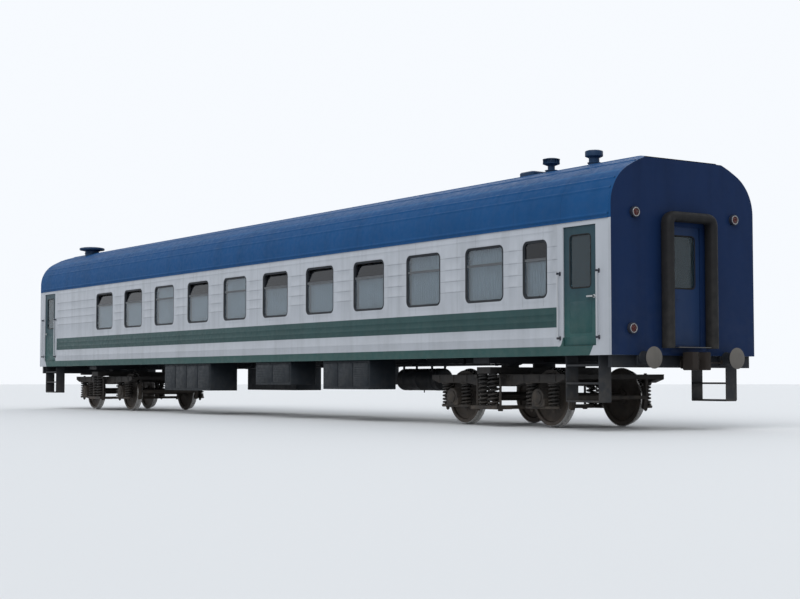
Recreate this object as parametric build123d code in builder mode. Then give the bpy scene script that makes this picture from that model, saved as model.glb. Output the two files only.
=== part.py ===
from build123d import *
from math import asin, atan2, cos, pi, radians, sin, sqrt
import os

# A broad-gauge sleeping coach: a hollow steel body on two four-wheeled bogies.
# X runs along the coach towards its front end, Y across it to its left, Z up. Lengths are in millimetres.
# The origin is midway along the coach, at the level of the flange tips that it stands on.

# Running plane: heights are given above the rail top, which is one flange depth above the origin
flange_depth = 28
rail_top = flange_depth

# Body shell
body_length = 23950
body_width = 3105
wall = 60
sill_z = rail_top + 1150
floor_z = rail_top + 1300
eave_z = rail_top + 3245
ceiling_z = rail_top + 3650
roof_top_z = rail_top + 4378
shoulder_radius = 700
crown_radius = 2400
roof_skin = 50
ceiling_board = 20
end_slope_length = 950
end_slope_drop = 150
half_length = body_length / 2
half_width = body_width / 2
end_x = half_length - wall
inner_y = half_width - wall

# Pressed ribs along the roof and the sides, and the rain gutters
rib_width = 36
rib_depth = 12
crown_rib_offsets = (0, 330, 660, 980)
shoulder_rib_rise = 61
bead_width = 26
bead_depth = 6
long_bead_heights = [rail_top + z for z in (1440, 1700, 1810, 3150)]
bead_end_gap = 90
gutter_depth = 16
gutter_height = 22

# Doorways in the sides, doors and their hinges
doorway_inset = 735
doorway_width = 800
doorway_height = 1890
door_post = 120
leaf_thickness = 45
leaf_recess = 25
leaf_gap = 5
stop_lip = 15
knuckle_radius = 8
knuckle_height = 60
knuckle_gap = 0.5
hinge_heights = (0.15, 0.8)
door_glass_width = 480
door_glass_height = 820
door_glass_z = rail_top + 2620
door_glass_corner = 60
pane_thickness = 8
pane_gap = 0.3
handle_length = 130
handle_height = 24
handle_depth = 16
handle_reach = 42
handle_z = rail_top + 2060
doorway_x = half_length - doorway_inset
wall_end_x = doorway_x - doorway_width / 2 - door_post

# Windows: ten wide ones in a row and a narrow one beside the doorway
window_height = 945
window_z = rail_top + 2552
window_corner = 115
wide_window = 1065
narrow_window = 625
rear_blank = 3320
narrow_window_inset = 565
narrow_window_pitch = 1355
wide_windows = 10
frame_bar = 42
frame_depth = 44
transom_height = 40
vent_share = 0.33
vent_lean = 12
leaning_vents = (0, 1, 3, 5, 6, 7)
narrow_window_x = wall_end_x - narrow_window_inset
first_window_x = rear_blank - wall_end_x
window_pitch = (narrow_window_x - narrow_window_pitch - first_window_x) / (wide_windows - 1)

# End walls: gangway doorways, rubber seals and bridge plates
end_doorway_width = 700
end_doorway_height = 1890
seal_thickness = 170
seal_length = 230
seal_margin = 40
seal_corner = 150
bridge_depth = 215
bridge_thickness = 12
bridge_drop = 30

# Underframe
floor_thickness = 60
side_sill_width = 100
centre_sill_width = 350
centre_sill_drop = 160
bolster_beam_width = 450
headstock_drop = 280
headstock_depth = 90
cross_member_width = 60
cross_members = 5
floor_under_z = floor_z - floor_thickness

# Rooms inside
bulkhead = 40
partition = 30
corridor_y = 650
inner_doorway = 650
inner_door_height = 1950
berth_depth = 560
berth_length = 1800
berth_wall_gap = 80
berth_thickness = 70
berth_levels = (floor_z + 430, floor_z + 1560)
table_width = 480
table_depth = 560
table_thickness = 25
table_z = floor_z + 720

# Steps and handrails at each side doorway
step_width = 760
step_depth = 250
step_inset = 50
step_heights = [rail_top + z for z in (420, 700, 980)]
step_plate = 12
tread_thickness = 30
rail_length = 1070
rail_z = rail_top + 1935
rail_reach = 62
rail_radius = 14
rail_bracket = 24
rail_side_gap = 60

# Bogies, measured from each one's own pivot
pivot_inset = 3475
wheelbase = 2400
tread_radius = 475
wheel_inner_y = 720
wheel_width = 130
flange_width = 33
flange_radius = tread_radius + flange_depth
rim_depth = 70
tread_taper = 5
hub_radius = 135
hub_recess = 20
dish_depth = 45
axle_radius = 82
journal_radius = 65
journal_gap = 0.6
journal_y = 1018
journal_cover = 50
axle_z = rail_top + tread_radius
side_beam_width = 170
side_beam_height = 140
side_beam_belly = 60
side_beam_end = 80
bogie_overhang = 650
bogie_half_length = wheelbase / 2 + bogie_overhang
cross_beam_x = 430
cross_beam_width = 160
end_beam_width = 90
bolster_width = 380
bolster_half_length = 1340
bolster_belly = 90
bolster_clearance = 20
pivot_radius = 200
pivot_plate = 20
kingpin_radius = 50
kingpin_gap = 0.6
bearer_y = 760
bearer_length = 220
plank_z = rail_top + 270
plank_thickness = 60
plank_width = 740
box_width = 250
box_radius = 150
box_skirt = 170
cover_radius = 110
cover_depth = 30
wing_thickness = 45
wing_z = rail_top + 290
wing_reach = 410
box_spring_x = 285
box_spring_radius = 100
bolster_spring_x = 130
bolster_spring_y = 1225
bolster_spring_radius = 105
link_x = 320
link_radius = 22
link_gap = 1
arm_height = 50
shoe_gap = 8
shoe_thickness = 55
shoe_width = 85
shoe_half_angle = 22
hanger = 30
side_beam_z = rail_top + 720
bolster_z = side_beam_z + side_beam_height + bolster_clearance
pivot_z = rail_top + 1010
pivot_x = half_length - pivot_inset

# Couplers and buffers
coupling_reach = 293.5
coupler_z = rail_top + 1060
coupler_height = 280
shank_width = 130
buffer_y = 900
buffer_z = rail_top + 1110
buffer_radius = 170
buffer_plate = 30
buffer_sleeve = 105
sleeve_length = 140
buffer_reach = 250

# Lamps on the ends and fittings on the roof
lamp_radius = 85
lamp_depth = 70
lamp_high = (half_width - 472.5, eave_z + 105)
lamp_low = (half_width - 402.5, floor_z + 260)
cap_x = 1500 - half_length
cap_y = -640
cap_neck = ((230, -120), (190, 20), (190, 70))
cap_levels = ((190, 70), (345, 115), (345, 160), (230, 185))
vent_x = (half_length - 2745, half_length - 1645)
vent_y = -420
vent_neck = ((120, -80), (90, 60))
vent_levels = ((90, 60), (90, 100), (150, 130), (150, 215), (110, 235))

# Equipment under the floor: places along the coach as shares of the distance from its middle to a pivot
battery_place = -0.32
battery_size = (2400, 700, 620)
case_sizes = ((0.12, 1, 1500, 620, 480), (0.16, -1, 1500, 620, 480), (0.5, -1, 1700, 620, 560))
case_edge = 75
reservoir_places = ((0.45, 700), (-0.61, 500))
reservoir_radius = 225
reservoir_length = 1500
reservoir_z = rail_top + 780
brake_cylinder_radius = 180
brake_cylinder_length = 420
brake_cylinder_z = rail_top + 850

low = (Align.CENTER, Align.CENTER, Align.MIN)
high = (Align.CENTER, Align.CENTER, Align.MAX)
ends = (1, -1)
sides = (1, -1)


def side_plane(side, distance):
    """A plane upright along one side of the coach, facing outwards. On the left its X runs rearwards."""
    return Plane(origin=(0, side * distance, 0), x_dir=(-side, 0, 0), z_dir=(0, side, 0))


def save(part, name):
    part.label = name
    export_step(part, f"parts/{name}.step")


def turned(part):
    """The same part at the other end of the coach, turned half round about the vertical axis."""
    return part.rotate(Axis.Z, 180)


def flat_corners(width, height, radius, steps=2, mode=Mode.ADD):
    """A rectangle whose corners are rounded in a few straight steps."""
    points = []
    for quarter, (across, up) in enumerate(((1, 1), (-1, 1), (-1, -1), (1, -1))):
        for step in range(steps + 1):
            angle = pi / 2 * (quarter + step / steps)
            x = across * (width / 2 - radius) + radius * cos(angle)
            y = up * (height / 2 - radius) + radius * sin(angle)
            points.append((x, y))
    Polygon(*points, mode=mode)


def add_round(levels, facets, *places, mode=Mode.ADD):
    """Adds or cuts a flat-sided round shape at every place, from its (radius, height) levels, lowest first."""
    turns = [2 * pi * step / facets for step in range(facets)]
    rings = [[(radius * cos(turn), radius * sin(turn), height) for turn in turns] for radius, height in levels]
    faces = [Face(Wire.make_polygon(ring)) for ring in (rings[0], rings[-1])]
    for lower, upper in zip(rings, rings[1:]):
        for i in range(facets):
            faces.append(Face(Wire.make_polygon([lower[i - 1], lower[i], upper[i], upper[i - 1]])))
    fitting = Solid(Shell(faces)).fix()
    add([fitting.moved(place) for place in places], mode=mode)


os.makedirs("parts", exist_ok=True)

# Cross-section of the body: straight sides, a shoulder arc on each side and a flatter crown that joins them
crown_centre_z = roof_top_z - crown_radius
shoulder_centre_y = half_width - shoulder_radius
shoulder_centre_z = crown_centre_z + sqrt((crown_radius - shoulder_radius) ** 2 - shoulder_centre_y**2)
crown_edge = atan2(shoulder_centre_z - crown_centre_z, shoulder_centre_y)


def crown_z(y):
    """Height of the roof's outside at a distance from the centre line."""
    return crown_centre_z + sqrt(crown_radius**2 - y**2)


def body_section(inset, foot_z):
    """Outline of the body's section down to foot_z, moved inwards by inset."""
    shoulder = shoulder_radius - inset
    start = asin(max(0, foot_z - shoulder_centre_z) / shoulder)
    middle = (start + crown_edge) / 2

    def on_shoulder(side, angle):
        return (side * (shoulder_centre_y + shoulder * cos(angle)), shoulder_centre_z + shoulder * sin(angle))

    for side in sides:
        ThreePointArc(on_shoulder(side, start), on_shoulder(side, middle), on_shoulder(side, crown_edge))
        if foot_z < shoulder_centre_z:
            Line(on_shoulder(side, 0), (side * (half_width - inset), foot_z))
    ThreePointArc(on_shoulder(1, crown_edge), (0, roof_top_z - inset), on_shoulder(-1, crown_edge))
    foot_y = on_shoulder(1, start)[0]
    Line((foot_y, foot_z), (-foot_y, foot_z))


def cut_end_slopes(inset):
    """Slopes the top of the roof down to both ends of the coach, for a surface moved inwards by inset."""
    top = roof_top_z + rib_depth
    with BuildSketch(Plane.XZ) as wedges:
        for end in ends:
            start_x, finish_x = end * (half_length - end_slope_length), end * half_length
            start_z = roof_top_z - inset
            foot = [(start_x, start_z), (finish_x, start_z - end_slope_drop)]
            Polygon(*foot, (finish_x, top), (start_x, top), align=None)
    extrude(wedges.sketch, amount=half_width, both=True, mode=Mode.SUBTRACT)


# Roof: a ribbed skin over a flat ceiling, in one length between the end walls, with both ends sloped down and
# flat-topped necks for the fittings that stand on it
cap_place = Location((cap_x, cap_y, crown_z(cap_y)))
vent_places = [Location((x, vent_y, crown_z(vent_y))) for x in vent_x]
with BuildPart() as roof_outside:
    with BuildSketch(Plane.YZ.offset(-end_x)):
        with BuildLine():
            body_section(0, ceiling_z)
        make_face()
        for y in sorted({side * offset for side in sides for offset in crown_rib_offsets}):
            with Locations(Location((y, crown_z(y)), -180 / pi * asin(y / crown_radius))):
                Trapezoid(2 * rib_width, 2 * rib_depth, 45)
        rib_z = ceiling_z + shoulder_rib_rise
        rib_angle = asin((rib_z - shoulder_centre_z) / shoulder_radius)
        rib_y = shoulder_centre_y + shoulder_radius * cos(rib_angle)
        for side in sides:
            with Locations(Location((side * rib_y, rib_z), side * (180 / pi * rib_angle - 90))):
                Trapezoid(2 * rib_width, 2 * rib_depth, 45)
    extrude(amount=2 * end_x)
    cut_end_slopes(0)
with BuildPart() as roof_inside:
    with BuildSketch(Plane.YZ.offset(-end_x)):
        with BuildLine():
            body_section(roof_skin, ceiling_z + ceiling_board)
        make_face()
    extrude(amount=2 * end_x)
    cut_end_slopes(roof_skin)
with BuildPart() as roof:
    add(roof_outside.part)
    add_round(cap_neck, 24, cap_place)
    add_round(vent_neck, 12, *vent_places)
    add(roof_inside.part, mode=Mode.SUBTRACT)
save(roof.part, "roof")

# Cantrails: the strips between the side walls and the roof, each with a rain gutter along its foot
with BuildPart() as cantrails:
    with BuildSketch(Plane.YZ.offset(-end_x)):
        with BuildLine():
            body_section(0, eave_z)
        make_face()
        with BuildLine():
            body_section(wall, eave_z)
        make_face(mode=Mode.SUBTRACT)
        with Locations((0, ceiling_z)):
            Rectangle(body_width, roof_top_z, align=(Align.CENTER, Align.MIN), mode=Mode.SUBTRACT)
        with Locations((half_width, eave_z), (-half_width - gutter_depth, eave_z)):
            Rectangle(gutter_depth, gutter_height, align=Align.MIN)
    extrude(amount=2 * end_x)
save(cantrails.part, "cantrails")

# Side walls, alike but turned half round: a plate with pressed beads and a hole for each window
windows = [(first_window_x + i * window_pitch, wide_window) for i in range(wide_windows)]
windows.append((narrow_window_x, narrow_window))
with BuildPart() as side_wall:
    with BuildSketch(side_plane(-1, inner_y)):
        with Locations((0, sill_z)):
            Rectangle(2 * wall_end_x, eave_z - sill_z, align=(Align.CENTER, Align.MIN))
        for x, width in windows:
            with Locations((x, window_z)):
                flat_corners(width, window_height, window_corner, mode=Mode.SUBTRACT)
    extrude(amount=wall)
    with BuildSketch(side_plane(-1, half_width)):
        with Locations([(0, z) for z in long_bead_heights]):
            Rectangle(2 * (wall_end_x - bead_end_gap), bead_width)
    extrude(amount=bead_depth)
save(side_wall.part, "side_wall_right")
save(turned(side_wall.part), "side_wall_left")

# Each doorway and its leaf are drawn about the leaf's hinge axis, with X across the doorway and Y outwards.
axis_inset = leaf_gap / 2
axis_depth = leaf_recess + leaf_thickness + knuckle_radius + knuckle_gap
leaf_face = knuckle_radius + knuckle_gap
post_depth = axis_depth - wall
strap = 5.5 * knuckle_radius
doorway_place = Location((doorway_x - doorway_width / 2 + axis_inset, half_width - axis_depth, floor_z))
end_place = Location((half_length - axis_depth, end_doorway_width / 2 - axis_inset, floor_z), (0, 0, -90))


def doorway_shape(width, height):
    """Cuts a doorway with a stop lip around its outer edge, and adds the fixed halves of the hinges."""
    with Locations((-axis_inset, post_depth, 0)):
        Box(width, wall - leaf_recess + leaf_gap, height, align=Align.MIN, mode=Mode.SUBTRACT)
    with Locations((stop_lip - axis_inset, post_depth, 0)):
        Box(width - 2 * stop_lip, 2 * wall, height - stop_lip, align=Align.MIN, mode=Mode.SUBTRACT)
    for share in hinge_heights:
        foot = height * share - knuckle_height
        add_round(((knuckle_radius, foot), (knuckle_radius, foot + knuckle_height)), 8, Location())
        with Locations((0, 0, foot)):
            Box(strap, post_depth, knuckle_height, align=(Align.MAX, Align.MIN, Align.MIN))


def leaf_shape(width, height):
    """A closed leaf with a window hole, a lever on each face and the moving halves of its hinges."""
    with Locations((axis_inset, leaf_face, leaf_gap)):
        Box(width - 2 * leaf_gap, leaf_thickness, height - 2 * leaf_gap, align=Align.MIN)
    with BuildSketch(Plane.XZ.offset(-leaf_face)) as hole:
        with Locations((width / 2 - axis_inset, door_glass_z - floor_z)):
            flat_corners(door_glass_width, door_glass_height, door_glass_corner)
    extrude(hole.sketch, amount=-leaf_thickness, mode=Mode.SUBTRACT)
    middle_y = leaf_face + leaf_thickness / 2
    handle_x = width - 2 * handle_reach
    with Locations((handle_x, middle_y, handle_z - floor_z)):
        Box(handle_height, leaf_thickness + 2 * handle_reach, handle_height)
    for face in (1, -1):
        with Locations((handle_x, middle_y + face * (leaf_thickness / 2 + handle_reach), handle_z - floor_z)):
            Box(handle_length, handle_depth, handle_height, align=(Align.MAX, Align.CENTER, Align.CENTER))
    for share in hinge_heights:
        foot = height * share + knuckle_gap
        add_round(((knuckle_radius, foot), (knuckle_radius, foot + knuckle_height)), 8, Location())
        with Locations((0, 0, foot)):
            Box(strap, leaf_face, knuckle_height, align=Align.MIN)


def pane_shape(width):
    """The pane that fills a leaf's window hole."""
    with BuildSketch(Plane.XZ.offset(-(leaf_face + leaf_thickness / 2))) as outline:
        with Locations((width / 2 - axis_inset, door_glass_z - floor_z)):
            size = (door_glass_width - 2 * pane_gap, door_glass_height - 2 * pane_gap)
            flat_corners(*size, door_glass_corner - pane_gap)
    extrude(outline.sketch, amount=-pane_thickness)


# Frames round the four side doorways, from the ends of the side walls to the end walls
with BuildPart() as corner:
    with Locations((wall_end_x, inner_y, sill_z)):
        Box(end_x - wall_end_x, wall, eave_z - sill_z, align=Align.MIN)
with BuildPart() as doorway_frame:
    add(corner.part.moved(doorway_place.inverse()))
    doorway_shape(doorway_width, doorway_height)
front_left_frame = doorway_frame.part.moved(doorway_place)
front_right_frame = front_left_frame.mirror(Plane.XZ)
with BuildPart() as doorway_frames:
    add([front_left_frame, front_right_frame, turned(front_left_frame), turned(front_right_frame)])
save(doorway_frames.part, "doorway_frames")

# Side doors and their panes
with BuildPart() as leaf:
    leaf_shape(doorway_width, doorway_height)
with BuildPart() as leaf_pane:
    pane_shape(doorway_width)
for blank, prefix in ((leaf.part, "side_door"), (leaf_pane.part, "side_door_pane")):
    front_left = blank.moved(doorway_place)
    front_right = front_left.mirror(Plane.XZ)
    save(front_left, f"{prefix}_front_left")
    save(front_right, f"{prefix}_front_right")
    save(turned(front_left), f"{prefix}_rear_right")
    save(turned(front_right), f"{prefix}_rear_left")

# End walls, each a plate to the body's full section with a doorway, and their doors
with BuildPart() as end_blank:
    with BuildSketch(Plane.YZ.offset(end_x)):
        with BuildLine():
            body_section(0, sill_z)
        make_face()
    extrude(amount=wall)
    cut_end_slopes(0)
with BuildPart() as end_wall:
    add(end_blank.part.moved(end_place.inverse()))
    doorway_shape(end_doorway_width, end_doorway_height)
with BuildPart() as end_leaf:
    leaf_shape(end_doorway_width, end_doorway_height)
with BuildPart() as end_pane:
    pane_shape(end_doorway_width)
blanks = ((end_wall.part, "end_wall"), (end_leaf.part, "end_door"), (end_pane.part, "end_door_pane"))
for blank, prefix in blanks:
    placed = blank.moved(end_place)
    save(placed, f"{prefix}_front")
    save(turned(placed), f"{prefix}_rear")

# Window frames, each a ring with a bar across, and their panes: a fixed one below the bar and a vent above it.
# Some vents on the right lean inwards, as they do when they are open.
frame_y = half_width - wall / 2
pane_height = (1 - vent_share) * window_height - frame_bar - transom_height / 2
vent_height = vent_share * window_height - frame_bar - transom_height / 2
pane_foot = window_z - window_height / 2 + frame_bar
vent_foot = pane_foot + pane_height + transom_height

with BuildPart() as right_frames:
    for x, width in windows:
        with BuildSketch(side_plane(-1, frame_y)):
            with Locations((x, window_z)):
                flat_corners(width, window_height, window_corner)
            for foot, height in ((pane_foot, pane_height), (vent_foot, vent_height)):
                with Locations((x, foot + height / 2)):
                    Rectangle(width - 2 * frame_bar, height, mode=Mode.SUBTRACT)
    extrude(amount=frame_depth / 2, both=True)
with BuildPart() as window_frames:
    add([right_frames.part, turned(right_frames.part)])
save(window_frames.part, "window_frames")

with BuildPart() as panes:
    for side in sides:
        for number, (x, width) in enumerate(windows):
            for foot, height in ((pane_foot, pane_height), (vent_foot, vent_height)):
                leans = side < 0 and foot == vent_foot and number in leaning_vents
                tilt = vent_lean if leans else 0
                size = (width - 2 * (frame_bar + pane_gap), pane_thickness, height - 2 * pane_gap)
                rise = pane_thickness * sin(radians(tilt)) / 2
                pane_place = (-side * x, side * frame_y, foot + pane_gap + rise)
                with Locations(Location(pane_place, (side * tilt, 0, 0))):
                    Box(*size, align=low)
save(panes.part, "panes")

# Floor, from end wall to end wall
with BuildPart() as floor:
    with Locations((0, 0, floor_under_z)):
        Box(2 * end_x, 2 * inner_y, floor_thickness, align=low)
save(floor.part, "floor")

# Underframe: side sills, a centre sill and cross members
centre_sill_z = floor_under_z - centre_sill_drop
beam_z = pivot_z + 2 * pivot_plate
beam_length = 2 * (inner_y - side_sill_width)
with BuildPart() as underframe:
    with Locations(*[(0, side * (inner_y - side_sill_width / 2), sill_z) for side in sides]):
        Box(2 * (end_x - headstock_depth), side_sill_width, floor_under_z - sill_z, align=low)
    with Locations((0, 0, centre_sill_z)):
        Box(2 * (end_x - headstock_depth), centre_sill_width, floor_under_z - centre_sill_z, align=low)
    for number in range(1 - cross_members, cross_members):
        with Locations((number * pivot_x / cross_members, 0, sill_z)):
            Box(cross_member_width, beam_length, floor_under_z - sill_z, align=low)
    with Locations(*[(end * pivot_x, 0, beam_z) for end in ends]):
        Box(bolster_beam_width, beam_length, floor_under_z - beam_z, align=low, mode=Mode.SUBTRACT)
save(underframe.part, "underframe")

# Body bolsters: a beam over each bogie with its pivot plate, kingpin and side bearers
with BuildPart() as front_body_bolster:
    with Locations((pivot_x, 0, beam_z)):
        Box(bolster_beam_width, beam_length, floor_under_z - beam_z, align=low)
    add_round(((pivot_radius, pivot_z), (pivot_radius, beam_z)), 16, Location((pivot_x, 0, 0)))
    with Locations((pivot_x, 0, bolster_z + bolster_clearance)):
        Cylinder(kingpin_radius, pivot_z - bolster_z - bolster_clearance, align=low)
    with Locations(*[(pivot_x, side * bearer_y, pivot_z) for side in sides]):
        Box(bearer_length, bearer_length, beam_z - pivot_z, align=low)
with BuildPart() as body_bolsters:
    add([front_body_bolster.part, turned(front_body_bolster.part)])
save(body_bolsters.part, "body_bolsters")

with BuildPart() as headstocks:
    with Locations(*[(end * (end_x - headstock_depth / 2), 0, floor_under_z) for end in ends]):
        Box(headstock_depth, 2 * inner_y, headstock_drop, align=high)
save(headstocks.part, "headstocks")

# Bulkheads between the vestibules and the rooms, fitted to the inside of the cantrails
room_height = ceiling_z - floor_z
with BuildPart() as bulkheads:
    with BuildSketch(Plane.YZ.offset(wall_end_x - bulkhead)):
        with BuildLine():
            body_section(wall, floor_z)
        make_face()
        with Locations((0, ceiling_z)):
            Rectangle(body_width, roof_top_z, align=(Align.CENTER, Align.MIN), mode=Mode.SUBTRACT)
        with Locations((0, floor_z)):
            Rectangle(inner_doorway, inner_door_height, align=(Align.CENTER, Align.MIN), mode=Mode.SUBTRACT)
    extrude(amount=bulkhead)
    add(turned(bulkheads.part))
save(bulkheads.part, "bulkheads")

# Corridor wall with a doorway to every compartment, and the partitions between compartments
first_partition_x = first_window_x - window_pitch / 2
with BuildPart() as corridor_wall:
    with Locations((first_partition_x, corridor_y, floor_z)):
        Box(wide_windows * window_pitch, bulkhead, room_height, align=Align.MIN)
    with Locations(*[(x, corridor_y, floor_z) for x, width in windows[:wide_windows]]):
        Box(inner_doorway, 2 * bulkhead, inner_door_height, align=low, mode=Mode.SUBTRACT)
save(corridor_wall.part, "corridor_wall")

with BuildPart() as partitions:
    with BuildSketch(Plane.YZ.offset(first_partition_x - partition / 2)) as profile:
        with BuildLine():
            body_section(wall, floor_z)
        make_face()
        with Locations((0, ceiling_z)):
            Rectangle(body_width, roof_top_z, align=(Align.CENTER, Align.MIN), mode=Mode.SUBTRACT)
        with Locations((corridor_y, floor_z)):
            Rectangle(body_width, roof_top_z, align=Align.MIN, mode=Mode.SUBTRACT)
    for number in range(wide_windows + 1):
        extrude(profile.sketch.moved(Location((number * window_pitch, 0, 0))), amount=partition)
save(partitions.part, "partitions")

# Berths and a table in every compartment
berth_x = (window_pitch - partition - berth_depth) / 2
with BuildPart() as berths:
    for x, width in windows[:wide_windows]:
        for z in berth_levels:
            with Locations(*[(x + side * berth_x, berth_wall_gap - inner_y, z) for side in sides]):
                Box(berth_depth, berth_length, berth_thickness, align=(Align.CENTER, Align.MIN, Align.MIN))
        with Locations((x, -inner_y, table_z)):
            Box(table_width, table_depth, table_thickness, align=(Align.CENTER, Align.MIN, Align.MIN))
save(berths.part, "berths_and_tables")

# Steps hung from the body below each side doorway
corner_places = [(end * doorway_x, side) for end in ends for side in sides]
with BuildPart() as steps:
    for x, side in corner_places:
        y = side * (half_width - step_inset - step_depth / 2)
        with Locations(*[(x, y, z) for z in step_heights]):
            Box(step_width, step_depth, tread_thickness, align=low)
        for edge in sides:
            with Locations((x + edge * (step_width + step_plate) / 2, y, step_heights[0])):
                Box(step_plate, step_depth, sill_z - step_heights[0], align=low)
save(steps.part, "steps")

# Handrails on both sides of each side doorway, each a rod on two brackets
with BuildPart() as handrails:
    for x, side in corner_places:
        for edge in sides:
            rail_x = x + edge * (doorway_width / 2 + rail_side_gap)
            rod = ((rail_radius, rail_z - rail_length / 2), (rail_radius, rail_z + rail_length / 2))
            add_round(rod, 6, Location((rail_x, side * (half_width + rail_reach), 0)))
            for up in (1, -1):
                level = rail_z + up * (rail_length / 2 - rail_bracket)
                with Locations((rail_x, side * (half_width + rail_reach / 2), level)):
                    Box(rail_bracket, rail_reach, rail_bracket)
save(handrails.part, "handrails")

# Rubber seals round the gangway doorways, open at the foot, and bridge plates
with BuildPart() as seal:
    with BuildSketch(Plane.YZ.offset(half_length)):
        inner_width = end_doorway_width + 2 * seal_margin
        inner_height = end_doorway_height + 2 * seal_margin
        with Locations((0, floor_z + end_doorway_height / 2)):
            flat_corners(inner_width + 2 * seal_thickness, inner_height + 2 * seal_thickness, seal_corner)
            Rectangle(inner_width, inner_height, mode=Mode.SUBTRACT)
        with Locations((0, floor_z - seal_margin)):
            Rectangle(body_width, 2 * seal_thickness, align=(Align.CENTER, Align.MAX), mode=Mode.SUBTRACT)
    extrude(amount=seal_length)
with BuildPart() as gangway_seals:
    add([seal.part, turned(seal.part)])
save(gangway_seals.part, "gangway_seals")

with BuildPart() as bridge_plates:
    with Locations(*[(end * (half_length + bridge_depth / 2), 0, floor_z - bridge_drop) for end in ends]):
        Box(bridge_depth, end_doorway_width, bridge_thickness, align=low)
save(bridge_plates.part, "bridge_plates")

# Buffers, each a sleeve with a foot on the headstock, a plunger and a round plate
with BuildPart() as front_buffers:
    places = [Location((half_length, side * buffer_y, buffer_z), (0, 90, 0)) for side in sides]
    plunger_radius = 2 / 3 * buffer_sleeve
    add_round(((buffer_sleeve, 0), (0.86 * buffer_sleeve, sleeve_length)), 12, *places)
    add_round(((plunger_radius, sleeve_length), (plunger_radius, buffer_reach - buffer_plate)), 8, *places)
    add_round(((buffer_radius, buffer_reach - buffer_plate), (buffer_radius, buffer_reach)), 16, *places)
    with Locations(*[(half_length, side * buffer_y, sill_z) for side in sides]):
        foot_height = sill_z - buffer_z + buffer_sleeve
        Box(wall, 2 * buffer_sleeve, foot_height, align=(Align.MAX, Align.CENTER, Align.MAX))
with BuildPart() as buffers:
    add([front_buffers.part, turned(front_buffers.part)])
save(buffers.part, "buffers")

# Automatic couplers: a head with a long and a short claw about the mouth, on a shank
with BuildPart() as front_coupler:
    with BuildSketch(Plane.XY.offset(coupler_z - coupler_height / 2)):
        Polygon(
            (-250, -90), (-170, -190), (60, -205), (110, -160), (105, -120), (20, -85), (-60, -50), (-60, 70),
            (30, 95), (75, 120), (70, 190), (-60, 210), (-170, 190), (-250, 90), align=None,
        )
    extrude(amount=coupler_height)
    with Locations((-250, 0, coupler_z)):
        shank_length = coupling_reach + wall - 250
        Box(shank_length, shank_width, shank_width, align=(Align.MAX, Align.CENTER, Align.CENTER))
with BuildPart() as couplers:
    placed = front_coupler.part.moved(Location((half_length + coupling_reach, 0, 0)))
    add([placed, turned(placed)])
save(couplers.part, "couplers")

# Marker lamps on the end walls
with BuildPart() as front_lamps:
    corners_lit = ((1, lamp_high), (-1, lamp_high), (-1, lamp_low))
    places = [Location((half_length, side * y, z), (0, 90, 0)) for side, (y, z) in corners_lit]
    add_round(((lamp_radius, 0), (lamp_radius, lamp_depth)), 12, *places)
with BuildPart() as marker_lamps:
    add([front_lamps.part, turned(front_lamps.part)])
save(marker_lamps.part, "marker_lamps")

# Roof fittings: a broad low cap on its neck towards the rear, and two small ventilators towards the front
with BuildPart() as roof_cap:
    add_round(cap_levels, 24, cap_place)
save(roof_cap.part, "roof_cap")

with BuildPart() as roof_vents:
    add_round(vent_levels, 12, *vent_places)
save(roof_vents.part, "roof_vents")

# Equipment under the floor between the bogies
with BuildPart() as battery_boxes:
    length, width, height = battery_size
    for side in sides:
        with Locations((battery_place * pivot_x, side * (half_width - case_edge - width / 2), sill_z)):
            Box(length, width, height, align=high)
save(battery_boxes.part, "battery_boxes")

with BuildPart() as equipment_cases:
    for place, side, length, width, height in case_sizes:
        with Locations((place * pivot_x, side * (half_width - case_edge - width / 2), sill_z)):
            Box(length, width, height, align=high)
save(equipment_cases.part, "equipment_cases")

with BuildPart() as air_reservoirs:
    for place, y in reservoir_places:
        x = place * pivot_x
        reach = reservoir_length / 2
        dome = 0.3 * reservoir_radius
        tank = [(0.6 * reservoir_radius, -reach), (reservoir_radius, dome - reach)]
        tank += [(reservoir_radius, reach - dome), (0.6 * reservoir_radius, reach)]
        add_round(tank, 16, Location((x, y, reservoir_z), (0, 90, 0)))
        with Locations(*[(x + side * reservoir_length / 3, y, reservoir_z) for side in sides]):
            Box(60, reservoir_radius, floor_under_z - reservoir_z, align=low)
save(air_reservoirs.part, "air_reservoirs")

with BuildPart() as brake_cylinder:
    reach = brake_cylinder_length / 2
    barrel = [(brake_cylinder_radius, -reach), (brake_cylinder_radius, reach / 2)]
    barrel.append((brake_cylinder_radius / 2, reach))
    add_round(barrel, 16, Location((0, 0, brake_cylinder_z), (0, 90, 0)))
    with Locations((0, 0, brake_cylinder_z)):
        Box(brake_cylinder_radius, brake_cylinder_radius, centre_sill_z - brake_cylinder_z, align=low)
save(brake_cylinder.part, "brake_cylinder")


# Bogies, drawn about their pivot at X = 0 and stood under both ends
def save_bogie_part(part, name):
    save(part.moved(Location((pivot_x, 0, 0))), f"{name}_front")
    save(part.moved(Location((-pivot_x, 0, 0))), f"{name}_rear")


corners = [(end * wheelbase / 2, side * journal_y) for end in ends for side in sides]
tread_y = wheel_inner_y + flange_width + (wheel_width - flange_width) / 2
shoe_reach = tread_radius + shoe_gap + shoe_thickness
beam_top = side_beam_z + side_beam_height
end_beam_z = beam_top - side_beam_end
brake_arms = (
    (cross_beam_x, wheelbase / 2 - shoe_reach + hanger, side_beam_z),
    (wheelbase / 2 + shoe_reach - hanger, bogie_half_length, end_beam_z),
)

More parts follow.
